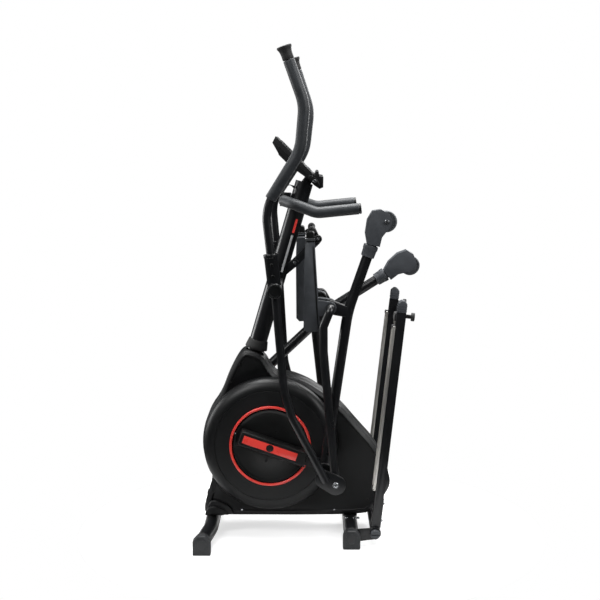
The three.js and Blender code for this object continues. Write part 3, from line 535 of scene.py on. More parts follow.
def between(corners: Sequence[Vector], start: float, end: float) -> list[Vector]:
    """The part of a cornered line between two shares of its length.

    Args:
        corners: The corners of the line.
        start: The first share.
        end: The last share.

    Returns:
        The corners of that part.
    """
    lengths = [0.0]
    for a, b in pairwise(corners):
        lengths.append(lengths[-1] + (b - a).length)

    def spot(share: float) -> Vector:
        """The point at a share of the length.

        Args:
            share: The share.

        Returns:
            The point.
        """
        reach = share * lengths[-1]
        i = next(k for k in range(1, len(lengths)) if lengths[k] >= reach - 1e-6)
        return corners[i - 1].lerp(corners[i], (reach - lengths[i - 1]) / (lengths[i] - lengths[i - 1]))

    inner = [c for c, d in zip(corners, lengths, strict=True) if start < d / lengths[-1] < end]
    return [spot(start), *inner, spot(end)]


def apply_all(piece: bpy.types.Object) -> None:
    """Applies every modifier on the piece.

    Args:
        piece: The piece.
    """
    choose(piece)
    for modifier in list(piece.modifiers):
        bpy.ops.object.modifier_apply(modifier=modifier.name)


def soften(piece: bpy.types.Object, width: float, segments: int = 3, angle: float = 32) -> bpy.types.Object:
    """Rounds the edges of a piece by a width in mm and shades its curved faces smooth.

    Args:
        piece: The piece.
        width: The width of the rounded edges, in mm.
        segments: How many faces make the rounding.
        angle: Edges sharper than this, in degrees, are rounded.

    Returns:
        The piece.
    """
    if width > 0:
        modifier = piece.modifiers.new("rounded edges", "BEVEL")
        modifier.width, modifier.segments = width * MM, segments
        modifier.limit_method, modifier.angle_limit = "ANGLE", math.radians(angle)
        modifier.use_clamp_overlap = True
        apply_all(piece)
    choose(piece)
    bpy.ops.object.shade_smooth_by_angle(angle=SMOOTH_ANGLE)
    return piece


def carve(piece: bpy.types.Object, *tools: bpy.types.Object) -> bpy.types.Object:
    """Cuts tools out of a piece and puts the tools away, and stops if a cut takes most of the piece.

    Args:
        piece: The piece.
        tools: What is cut out of it.

    Returns:
        The piece.
    """
    size = max(piece.dimensions)
    for tool in tools:
        modifier = piece.modifiers.new("cut", "BOOLEAN")
        modifier.operation, modifier.object, modifier.solver = "DIFFERENCE", tool, "EXACT"
        apply_all(piece)
        bpy.data.objects.remove(tool)
    bpy.context.view_layer.update()
    if max(piece.dimensions) < size * CUT_LEFT:
        raise ValueError(f"a cut took most of {piece.name}")
    return piece


def weld(piece: bpy.types.Object, *others: bpy.types.Object) -> bpy.types.Object:
    """Makes one closed body of a piece and others that reach into it.

    Args:
        piece: The piece.
        others: What is joined to it.

    Returns:
        The piece.
    """
    for other in others:
        modifier = piece.modifiers.new("weld", "BOOLEAN")
        modifier.operation, modifier.object, modifier.solver = "UNION", other, "EXACT"
        apply_all(piece)
        bpy.data.objects.remove(other)
    return piece


def gather(piece: bpy.types.Object, *others: bpy.types.Object) -> bpy.types.Object:
    """Joins loose pieces of one finish, such as a set of screws, into one object.

    Args:
        piece: The piece.
        others: What is joined to it.

    Returns:
        The piece.
    """
    choose(piece)
    for other in others:
        other.select_set(True)
    bpy.ops.object.join()
    return piece


def again(piece: bpy.types.Object, name: str) -> bpy.types.Object:
    """A copy of a piece with its own mesh.

    Args:
        piece: The piece.
        name: The copy's name.

    Returns:
        The copy.
    """
    copy = piece.copy()
    copy.data = piece.data.copy()
    copy.name = copy.data.name = name
    bpy.context.scene.collection.objects.link(copy)
    return copy


def from_frame(node: str, name: str, width: float, segments: int = 3) -> bpy.types.Object:
    """A frame part's own shape, merged, cleared of flat seams and given rounded edges.

    Args:
        node: The frame part.
        name: The piece's name.
        width: The width of the rounded edges, in mm.
        segments: How many faces make the rounding.

    Returns:
        The piece.
    """
    piece = again(frame["nodes"][node], name)
    piece.parent = None
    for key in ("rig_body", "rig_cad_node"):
        if key in piece:
            del piece[key]
    piece.data.materials.clear()
    with editing(piece):
        bpy.ops.mesh.remove_doubles(threshold=MERGE)
        bpy.ops.mesh.customdata_custom_splitnormals_clear()
        bpy.ops.mesh.dissolve_limited(angle_limit=math.radians(0.6))
    return soften(piece, width, segments)


# ------------------------------------------------------------------ finishes


def linear(colour: str) -> tuple[float, float, float, float]:
    """Turns an sRGB hex value to a linear colour with full alpha."""
    parts = [int(colour[i : i + 2], 16) / 255 for i in (1, 3, 5)]
    return (*(c / 12.92 if c <= 0.04045 else ((c + 0.055) / 1.055) ** 2.4 for c in parts), 1.0)


def add_node(
    tree: bpy.types.NodeTree, kind: str, links: dict | None = None, **settings: object,
) -> bpy.types.Node:
    """Adds a node with its settings and links.

    Args:
        tree: The material's tree.
        kind: The node's type after "ShaderNode".
        links: Sockets by name or number: an output socket to link, or a value.
        settings: Attributes of the node.

    Returns:
        The node.
    """
    node = tree.nodes.new(f"ShaderNode{kind}")
    for key, value in settings.items():
        setattr(node, key, value)
    for key, value in (links or {}).items():
        if isinstance(value, bpy.types.NodeSocket):
            tree.links.new(value, node.inputs[key])
        else:
            node.inputs[key].default_value = value
    return node


class Grain(Enum):
    """How a surface was made, which decides its fine pattern."""

    ORANGE_PEEL = "sprayed or powder-coated, with soft waves"
    SPARK = "moulded in a spark-eroded tool, with a fine matt grain"
    CELLS = "closed foam cells"
    DRAWN = "drawn or extruded, with fine lines along its length"
    CAST = "sand cast and machined"


@dataclass(frozen=True)
class Finish:
    """A real material with its surface: colours in sRGB hex and pattern sizes in mm."""

    name: str
    slot: str
    colour: str
    shade: str
    grain: Grain
    grain_size: float
    grain_depth: float
    roughness: tuple[float, float]
    metallic: float = 0
    ior: float = 1.5
    specular: float = 0.5
    coat: float = 0
    coat_roughness: float = 0.1
    sheen: float = 0
    blotch_size: float = 60
    line_way: tuple[float, float, float] = (1, 1, 1)

    def material(self) -> bpy.types.Material:
        """The material, made once and shared by every piece of this finish.

        Returns:
            The material.
        """
        found = bpy.data.materials.get(self.name)
        if found is not None:
            return found
        material = bpy.data.materials.new(self.name)
        material.use_nodes = True
        tree = material.node_tree
        tree.nodes.clear()
        place = add_node(tree, "TexCoord").outputs["Object"]
        fine = self.fine_pattern(tree, place)
        blotch = add_node(
            tree, "TexNoise", {
                "Vector": place, "Scale": 1000 / self.blotch_size, "Detail": 4.0, "Roughness": 0.6,
            }
        )
        wear = add_node(
            tree, "MapRange", {
                "Value": blotch.outputs["Fac"], "From Min": 0.3, "From Max": 0.72, "To Min": 0.0,
                "To Max": 1.0,
            }
        )
        mixed = add_node(tree, "Math", {0: wear.outputs["Result"], 1: fine}, operation="MULTIPLY")
        tone = self.tone(tree, mixed.outputs["Value"])
        rough = add_node(
            tree,
            "MapRange",
            {
                "Value": mixed.outputs["Value"], "From Min": 0.0, "From Max": 0.8,
                "To Min": self.roughness[0], "To Max": self.roughness[1],
            },
        )
        bump = add_node(
            tree, "Bump", {"Height": fine, "Distance": self.grain_depth * MM, "Strength": 0.6}
        )
        shader = add_node(
            tree,
            "BsdfPrincipled",
            {
                "Base Color": tone,
                "Roughness": rough.outputs["Result"],
                "Normal": bump.outputs["Normal"],
                "Metallic": self.metallic,
                "Specular IOR Level": self.specular,
                "Coat Weight": self.coat,
                "Coat Roughness": self.coat_roughness,
                "Sheen Weight": self.sheen,
                "Sheen Roughness": 0.45,
            },
        )
        if not self.metallic:
            shader.inputs["IOR"].default_value = self.ior
        add_node(tree, "OutputMaterial", {"Surface": shader.outputs["BSDF"]})
        return material

    def tone(self, tree: bpy.types.NodeTree, factor: bpy.types.NodeSocket) -> bpy.types.NodeSocket:
        """Blends the two colours by a factor.

        Args:
            tree: The material's tree.
            factor: The share of the second colour.

        Returns:
            The blended colour.
        """
        ramp = add_node(tree, "ValToRGB", {"Fac": factor})
        ramp.color_ramp.elements[0].position, ramp.color_ramp.elements[1].position = 0.1, 0.75
        ramp.color_ramp.elements[0].color = linear(self.colour)
        ramp.color_ramp.elements[1].color = linear(self.shade)
        return ramp.outputs["Color"]

    def fine_pattern(self, tree: bpy.types.NodeTree, place: bpy.types.NodeSocket) -> bpy.types.NodeSocket:
        """The fine pattern of the surface, from 0 to 1.

        Args:
            tree: The material's tree.
            place: The coordinates of the pattern.

        Returns:
            The pattern.
        """
        scale = 1000 / self.grain_size
        if self.grain is Grain.CELLS:
            cells = add_node(tree, "TexVoronoi", {"Vector": place, "Scale": scale}, feature="SMOOTH_F1")
            return cells.outputs["Distance"]
        if self.grain is Grain.DRAWN:
            stretched = add_node(tree, "Mapping", {"Vector": place, "Scale": self.line_way})
            lines = add_node(
                tree, "TexNoise", {"Vector": stretched.outputs["Vector"], "Scale": scale, "Detail": 2.0},
            )
            return lines.outputs["Fac"]
        if self.grain is Grain.CAST:
            sand = add_node(tree, "TexVoronoi", {"Vector": place, "Scale": scale, "Randomness": 1.0})
            return sand.outputs["Distance"]
        detail = 1.0 if self.grain is Grain.ORANGE_PEEL else 6.0
        noise = add_node(
            tree, "TexNoise", {"Vector": place, "Scale": scale, "Detail": detail, "Roughness": 0.55},
        )
        return noise.outputs["Fac"]


# Powder-coated steel tube: a satin skin with an orange peel of about 2.5 mm that breaks up the highlights.
POWDER_COAT = Finish(
    "powder_coated_steel", "frame_paint", "#0f1012", "#18191c", Grain.ORANGE_PEEL, 2.5, 0.05, (
        0.27, 0.38,
    ), specular=0.55, blotch_size=90,
)
# ABS moulded in a spark-eroded tool: the grain is about 0.4 mm and is drawn at 1.1 mm so that it shows.
COVER_ABS = Finish(
    "grained_abs", "cover_plastic", "#0b0c0d", "#121315", Grain.SPARK, 1.1, 0.05, (
        0.4, 0.52,
    ), specular=0.38, blotch_size=120,
)
# The crank covers and discs: ABS from a finer tool, a little glossier and darker.
CRANK_ABS = Finish(
    "satin_abs", "crank_plastic", "#0b0c0c", "#121314", Grain.SPARK, 0.9, 0.03, (
        0.36, 0.48,
    ), specular=0.38, blotch_size=80,
)
# Glass-filled nylon of the pedals, keys, rail caps and roller heads: dry dark grey, its grain drawn at 1.4 mm.
GREY_NYLON = Finish(
    "grey_glass_filled_nylon", "grey_plastic", "#3c3f43", "#4c4f54", Grain.SPARK, 1.4, 0.08, (
        0.46, 0.64,
    ), ior=1.53, blotch_size=40,
)
# The same nylon as the pedals, painted darker for the caps on the floor: painted shade, not a different dye.
SHADED_FOOT_NYLON = Finish(
    "black_glass_filled_nylon", "grey_plastic", "#202224", "#2c2e30", Grain.SPARK, 1.4, 0.08, (
        0.46, 0.64,
    ), ior=1.53, blotch_size=40,
)
# Nitrile foam sleeve: closed cells of about 0.5 mm, drawn at 1.2 mm, with a soft broad highlight.
FOAM = Finish(
    "nitrile_foam", "grip_foam", "#25282b", "#35383c", Grain.CELLS, 1.2, 0.12, (
        0.46, 0.6,
    ), ior=1.4, sheen=0.25, blotch_size=30,
)
# Red-dyed ABS with a clear gloss: warm coral, almost without grain.
RED_ABS = Finish(
    "gloss_red_abs", "red_trim", "#f2453c", "#f54a42", Grain.ORANGE_PEEL, 3.0, 0.004, (
        0.26, 0.32,
    ), ior=1.52, coat=0.3, coat_roughness=0.08,
)
# Bright zinc plate on turned steel: fine tool lines of 0.3 mm, drawn at 0.8 mm.
ZINC_STEEL = Finish(
    "zinc_plated_steel", "bare_steel", "#b4b7ba", "#d0d2d4", Grain.DRAWN, 0.8, 0.02, (
        0.2, 0.34,
    ), metallic=1, line_way=(1, 1, 0.15),
)
# Anodised aluminium extrusion: silver with fine die lines of 0.6 mm along its length, drawn at 1.6 mm.
ANODISED = Finish(
    "anodised_aluminium", "track_aluminium", "#d0cec9", "#e2e0db", Grain.DRAWN, 1.6, 0.03, (
        0.42, 0.55,
    ), metallic=1, line_way=(1, 1, 0.03), blotch_size=200,
)
# Polyurethane and rubber: matt, with a fine dusty grain of 1 mm.
RUBBER = Finish(
    "black_rubber", "wheel_rubber", "#121212", "#232323", Grain.SPARK, 1.0, 0.06, (
        0.62, 0.8,
    ), ior=1.52, sheen=0.08, blotch_size=25,
)
# Grey polyurethane tread of the rollers, lighter than the wheel's black core.
GREY_TREAD = Finish(
    "grey_polyurethane", "wheel_rubber", "#4a4d50", "#5d6064", Grain.SPARK, 1.0, 0.04, (
        0.42, 0.56,
    ), ior=1.49, blotch_size=20,
)
# Cast iron of the flywheel and pulleys: grey sand grain of about 1.5 mm under a film of oil.
CAST_IRON = Finish(
    "cast_iron", "drive_iron", "#4d5054", "#65686c", Grain.CAST, 1.5, 0.12, (
        0.42, 0.6,
    ), metallic=1, blotch_size=35,
)
# White print on the mast: a plain bar in satin ink.
WHITE_INK = Finish(
    "white_satin_ink", "frame_paint", "#d9dadb", "#e6e7e8", Grain.ORANGE_PEEL, 2.0, 0.01, (0.4, 0.5),
)


@dataclass(frozen=True)
class DisplayGlass:
    """The console's window: dark green-grey glass over a panel of faint bar segments 6 mm by 2 mm."""

    name: str = "display_glass"
    slot: str = "screen_plastic"

    def material(self) -> bpy.types.Material:
        """The material, made once.

        Returns:
            The material.
        """
        found = bpy.data.materials.get(self.name)
        if found is not None:
            return found
        material = bpy.data.materials.new(self.name)
        material.use_nodes = True
        tree = material.node_tree
        tree.nodes.clear()
        place = add_node(tree, "TexCoord").outputs["Object"]
        turned_place = add_node(
            tree, "Mapping", {"Vector": place, "Rotation": (0, math.radians(45), math.pi / 2)},
        )
        bars = add_node(
            tree,
            "TexBrick",
            {
                "Vector": turned_place.outputs["Vector"],
                "Color1": linear("#39443c"),
                "Color2": linear("#2f3a33"),
                "Mortar": linear("#20282a"),
                "Scale": 60.0,
                "Mortar Size": 0.06,
            },
        )
        smears = add_node(tree, "TexNoise", {"Vector": place, "Scale": 25.0, "Detail": 5.0})
        rough = add_node(
            tree, "MapRange", {"Value": smears.outputs["Fac"], "To Min": 0.08, "To Max": 0.2}
        )
        shader = add_node(
            tree,
            "BsdfPrincipled",
            {
                "Base Color": bars.outputs["Color"], "Roughness": rough.outputs["Result"], "IOR": 1.49,
                "Coat Weight": 0.6,
            },
        )
        add_node(tree, "OutputMaterial", {"Surface": shader.outputs["BSDF"]})
        return material


AnyFinish = Finish | DisplayGlass


def dress(
    piece: bpy.types.Object, finish: AnyFinish, body: str, *stands_for: str, foam: float = 0
) -> bpy.types.Object:
    """Gives a piece its finish, the body it moves with and the frame parts it stands for.

    Args:
        piece: The finished piece.
        finish: Its finish.
        body: The body it rides on.
        stands_for: Frame parts that it replaces.
        foam: How full it is, for a padded piece; not used.

    Returns:
        The piece.
    """
    deselect()
    piece.data.materials.clear()
    piece.data.materials.append(finish.material())
    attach(piece, body)
    if stands_for:
        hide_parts(*stands_for)
    log.info("%s on %s in %s", piece.name, body, finish.name)
    return piece


class SubAssembly:
    """A group of pieces that is built and dressed together."""

    def build(self) -> None:
        """Makes the pieces of this group."""
        raise NotImplementedError

    def put(
        self,
        piece: bpy.types.Object,
        finish: AnyFinish,
        body: str,
        *stands_for: str,
        place: Place = FLOOR_FRAME,
        foam: float = 0,
    ) -> bpy.types.Object:
        """Lays a piece that was modelled at its pivot and dresses it."""
        place.lay(piece)
        return dress(piece, finish, body, *stands_for, foam=foam)


@dataclass(frozen=True)
class Screw:
    """A pan-head screw or bolt with a hexagon socket; sizes in mm."""

    head: float = 10
    height: float = 3.5
    socket: float = 4

    def make(self, name: str, at: Vector, way: Vector) -> bpy.types.Object:
        """The screw head with its socket, seated at a point and standing along a way.

        Args:
            name: The piece's name.
            at: Where it goes, in mm.
            way: The way that its axis points.

        Returns:
            The piece.
        """
        r, h = self.head / 2, self.height
        head = turned(
            name, [(0, -1.5), (r, -1.5), (r, h * 0.35), (r * 0.86, h * 0.8), (r * 0.6, h), (0, h)], 28,
        )
        deselect()
        bpy.ops.mesh.primitive_cylinder_add(
            vertices=6, radius=self.socket / 2 * MM, depth=h * MM, location=(0, h * MM, 0), rotation=(
                math.pi / 2, 0, 0,
            )
        )
        carve(head, started("socket"))
        return aim(soften(head, 0), at, way)

    def row(self, name: str, spots: Sequence[Vector], way: Vector) -> bpy.types.Object:
        """Several of these screws that face one way, joined as one piece."""
        heads = [self.make(name, at, way) for at in spots]
        return gather(heads[0], *heads[1:])


def stopper(name: str, radius: float, height: float, edge: float = 2, dish: float = 1) -> bpy.types.Object:
    """A round moulded cap with a rim and a shallow dish in its face, standing on its pivot along +Y.

    Args:
        name: The piece's name.
        radius: Its radius, in mm.
        height: Its height.
        edge: The width of its rounded edge.
        dish: How deep its face is.

    Returns:
        The piece.
    """
    profile = [
        (0, -2), (radius - 0.6, -2), (radius, 0), (radius, height - edge), (
            radius - edge * 0.3, height - edge * 0.3,
        ),
        (radius - edge, height), (radius - edge - 2.5, height), (
            radius - edge - 3.6, height - dish,
        ), (0, height - dish),
    ]
    return soften(turned(name, profile, 48), 0)


# ------------------------------------------------------------------ sub-assemblies


@dataclass
class Studio:
    """The camera, the pale floor and the soft lights."""

    eye: tuple[float, float, float] = (0.0, -4.0, 1.33)
    pitch: float = 82.5
    yaw: float = 0.53
    lens: float = 70.8
    floor: float = 0.8

    def build(self) -> None:
        """Sets up the studio."""
        deselect()
        bpy.ops.object.camera_add(
            location=self.eye, rotation=(math.radians(self.pitch), 0, math.radians(self.yaw))
        )
        camera = bpy.context.object
        camera.data.lens, camera.data.sensor_width = self.lens, 36
        bpy.context.scene.camera = camera
        bpy.context.scene.view_settings.view_transform = "Standard"
        bpy.ops.mesh.primitive_circle_add(
            vertices=96, radius=self.floor, fill_type="NGON", location=(0, 0, -0.0005),
        )
        floor = bpy.context.object
        floor.name = "studio_floor"
        paper = bpy.data.materials.new("matt_white_paper")
        paper.use_nodes = True
        sheet = paper.node_tree.nodes["Principled BSDF"].inputs
        sheet["Base Color"].default_value, sheet["Roughness"].default_value = linear("#cfcfcf"), 0.9
        sheet["Emission Color"].default_value = linear("#ffffff")
        path = add_node(paper.node_tree, "LightPath")
        # The paper glows for the camera only, so that it looks white without lighting the object from below.
        lift = add_node(
            paper.node_tree, "Math", {0: path.outputs["Is Camera Ray"], 1: 0.6}, operation="MULTIPLY",
        )
        paper.node_tree.links.new(lift.outputs[0], sheet["Emission Strength"])
        floor.data.materials.append(paper)
        self.light("left key", (-1.9, -2.3, 3.3), 1.8, 80)
        self.light("right fill", (2.7, -1.6, 2.6), 1.4, 70)
        self.light("top", (0.0, 0.4, 3.4), 2.2, 200)
        self.light("left edge", (-3.0, 0.7, 1.2), 1.3, 40)
        self.light("rear rim", (1.6, 2.6, 2.0), 1.8, 40)
        self.sky()

    def light(self, name: str, at: tuple[float, float, float], size: float, power: float) -> None:
        """A square soft light that faces the middle of the machine.

        Args:
            name: The lamp's name.
            at: Where it stands, in metres.
            size: Its side, in metres.
            power: Its power, in watts.
        """
        way = Vector((0, 0, 0.75)) - Vector(at)
        bpy.ops.object.light_add(type="AREA", location=at, rotation=way.to_track_quat("-Z", "Y").to_euler())
        lamp = bpy.context.object
        lamp.name = name
        lamp.data.size, lamp.data.energy = size, power

    def sky(self) -> None:
        """A white studio all round, which lights the object less than it shows."""
        world = bpy.data.worlds.new("white studio")
        bpy.context.scene.world = world
        world.use_nodes = True
        tree = world.node_tree
        tree.nodes.clear()
        seen = add_node(tree, "Background", {"Color": linear("#ffffff"), "Strength": 1.0})
        glow = add_node(tree, "Background", {"Color": linear("#f2f4f6"), "Strength": 0.05})
        path = add_node(tree, "LightPath")
        mixed = add_node(
            tree, "MixShader", {
                0: path.outputs["Is Camera Ray"], 1: glow.outputs["Background"],
                2: seen.outputs["Background"],
            }
        )
        add_node(tree, "OutputWorld", {"Surface": mixed.outputs["Shader"]})


@dataclass
class PulseWire(SubAssembly):
    """The thin wire of the pulse sensor: out of the mast, in a small loop, into the bar's clamp."""

    diameter: float = 3
    route: tuple[tuple[float, float, float], ...] = (
        (-58.5, -20, 1190), (-65, -21, 1194), (-73, -26, 1196), (-81, -34, 1193),
        (-87, -44, 1186), (-90, -54, 1177), (-90, -60, 1169), (-89, -62, 1162.5),
    )
    steps: int = 4

    def build(self) -> None:
        """Lays the wire on one smooth curve through its route."""
        knots = [Vector((x + DRAWING_SHIFT, y, z)) * MM for x, y, z in self.route]
        ends = [knots[0] * 2 - knots[1], *knots, knots[-1] * 2 - knots[-2]]
        points = [knots[0]]
        for a, b, c, d in zip(ends, ends[1:], ends[2:], ends[3:], strict=False):
            for k in range(1, self.steps + 1):
                t = k / self.steps
                points.append(
                    0.5 * (
                        2 * b + (c - a) * t + (2 * a - 5 * b + 4 * c - d) * t * t + (3 * b - a - 3 * c + d) * t**3
                    )
                )
        line = bpy.data.curves.new("pulse_sensor_wire", "CURVE")
        line.dimensions = "3D"
        line.bevel_depth, line.bevel_resolution, line.use_fill_caps = self.diameter / 2 * MM, 4, True
        spline = line.splines.new("POLY")
        spline.points.add(len(points) - 1)
        for spot, at in zip(spline.points, points, strict=True):
            spot.co = (*at, 1)
        wire = bpy.data.objects.new("pulse_sensor_wire", line)
        bpy.context.scene.collection.objects.link(wire)
        dress(wire, RUBBER, "frame", "pulse_wire")
        for name, at, way in (("mast", 0, Vector((-6.5, -1, 4))), ("bar", -1, Vector((0, 0, 1)))):
            relief = turned(
                f"wire_relief_{name}", [(1.55, -3), (4.2, -3), (4.2, 0), (2.6, 5), (1.9, 8), (1.55, 8)], 20,
            )
            x, y, z = self.route[at]
            self.put(aim(soften(relief, 0), Vector((x, y, z)), way), RUBBER, "frame")


@dataclass
class Cover(SubAssembly):
    """One half of the drive cover: a shell with a raised rim, the round bulge, and the foot fairing."""

    side: Side
    half_width: float = 62
    rim_rise: float = 9
    rim_slope: float = 12
    rim_flat: float = 5
    recess: float = 3
    wall: float = 3
    bulge: float = 228
    bulge_flat: float = 190
    reach: float = 115
    opening: float = 128
    outline: tuple[Point, ...] = (
        (
            -220, 641,
        ), (-246, 622), (-285, 547), (-308, 481), (-352, 420), (-371, 344), (-367, 272), (-338, 212),
        (
            -341, 179,
        ), (-362, 117), (-368, 70), (-340, 62), (176, 62), (214, 84), (258, 138), (276, 177), (265, 224),
        (225, 306), (164, 373), (99, 450), (33, 497), (-12, 527), (-82, 553), (
            -112, 545,
        ), (-140, 578), (-162, 619),
    )

    dark_screws: tuple[Point, ...] = (
        (-240, 588), (-272, 528), (-146, 562), (-335, 146), (196, 120), (216, 284),
    )
    bright_screws: tuple[Point, ...] = ((-237, 82), (82, 82))
    sharp_corner: int = 11  # the lower front corner, which stays as drawn

    def build(self) -> None:
        """Makes the shell, its bulge, the fairing and the screws of this side."""
        word = self.side.word
        self.put(self.shell(), COVER_ABS, "frame", f"shroud_{word}")
        self.put(self.dome(), COVER_ABS, "frame", place=Place(LINKS.crank))
        self.fairing()
        self.screws()

    def shell(self) -> bpy.types.Object:
        """The shell with its sloped rim, recessed face and the hole under the bulge, modelled on the left.

        Returns:
            The shell.
        """
        edge = rounded(self.outline, sharp=(self.sharp_corner,))
        base = self.rim_rise - self.half_width
        shell = plate(f"cover_shell_{self.side.word}", edge, -0.2, base)
        with editing(shell):
            select_faces(shell, lambda f: abs(f.calc_center_median().y - base * MM) < 1e-6)
            bpy.ops.mesh.inset(thickness=self.rim_slope * MM, depth=self.rim_rise * MM)
            bpy.ops.mesh.inset(thickness=self.rim_flat * MM, depth=0)
            bpy.ops.mesh.inset(thickness=2.5 * MM, depth=-self.recess * MM)
        room = plate("room", shrunk(edge, self.wall), 1, base - 1)
        hollow = turned("hollow", [(0, -40), (218, -40), (218, -90), (0, -90)], 96)
        carve(shell, room, aim(hollow, LINKS.crank), self.mast_room())
        if self.side is Side.RIGHT:
            with editing(shell):
                bpy.ops.transform.resize(value=(1, -1, 1), center_override=(0, 0, 0))
                close_up()
        return soften(shell, 1.2, 2, 25)

    def mast_room(self) -> bpy.types.Object:
        """The space that the mast takes where it enters the cover."""
        way = polar(1, MAST_LEAN)
        return bent_tube("mast_room", [MAST_FOOT - way * 40, MAST_FOOT + way * 80], 66, 1, 48)

    def dome(self) -> bpy.types.Object:
        """The round bulge: a rounded shoulder, a fine line at the edge of its flat, and the seat of the ring.

        Returns:
            The bulge.
        """
        s, w = self.side.value, self.wall
        shoulder = [
            (self.bulge_flat + (self.bulge - self.bulge_flat) * math.sin(math.radians(a)),
             self.reach - 34 + 34 * math.cos(math.radians(a)))
            for a in range(0, 91, 6)
        ]
        inner = [
            (r - w * math.sin(math.radians(6 * i)), y - w * math.cos(math.radians(6 * i)))
            for i, (r, y) in enumerate(shoulder)
        ]
        flat_edge = self.bulge_flat
        profile = [
            (
                self.opening + 1, self.reach - 12,
            ), (self.opening + 1, self.reach - 1), (self.opening + 2, self.reach),
            (flat_edge - 4, self.reach), (flat_edge - 3, self.reach - 1.2), (
                flat_edge - 1.8, self.reach - 1.2,
            ), (flat_edge - 0.8, self.reach),
            *shoulder, (self.bulge, 48), (self.bulge - w, 48), *reversed(inner),
            (self.opening + 1 + w, self.reach - w), (self.opening + 1 + w, self.reach - 12),
        ]
        dome = turned(f"cover_bulge_{self.side.word}", [(r, s * y) for r, y in profile], 128)
        deselect()
        below = block("below", (-400, -200, -400), (400, 200, -256))
        return soften(carve(dome, below), 0)

    def fairing(self) -> None:
        """Two stepped ribs that lead the cover down to the front stabilizer, and the crease above them."""
        s = self.side.value
        steps = (
            ("outer", [(-362, 66), (-350, 108), (-335, 119), (-305, 112), (-276, 96), (-262, 70)], 50, 72),
            ("inner", [(-364, 66), (-357, 88), (-340, 99), (-312, 94), (-290, 82), (-280, 68)], 60, 80),
        )
        for word, outline, low, high in steps:
            rib = plate(
                f"cover_foot_rib_{word}_{self.side.word}", rounded(outline, 2, sharp=(0, 5)), s * low,
                s * high,
            )
            self.put(soften(rib, 5, 4), COVER_ABS, "frame")
        blade = plate(
            f"cover_crease_{self.side.word}",
            rounded(
                [(-318, 176), (-296, 168), (-270, 150), (-244, 126), (-262, 124), (-292, 142), (-312, 160)],
                2,
            ),
            s * 54, s * 69,
        )
        self.put(soften(blade, 4, 3), COVER_ABS, "frame")

    def screws(self) -> None:
        """Black screws along the rim and two bright ones low on the cover."""
        s, word = self.side.value, self.side.word
        out = across(s)
        dark = [Vector((x, s * 61.4, z)) for x, z in self.dark_screws]
        self.put(Screw(8, 1.6, 4).row(f"cover_screw_0_{word}", dark, out), CRANK_ABS, "frame")
        bright = [Vector((x, s * 59.2, z)) for x, z in self.bright_screws]
        self.put(Screw(9, 2.4, 4).row(f"cover_bright_screw_0_{word}", bright, out), ZINC_STEEL, "frame")


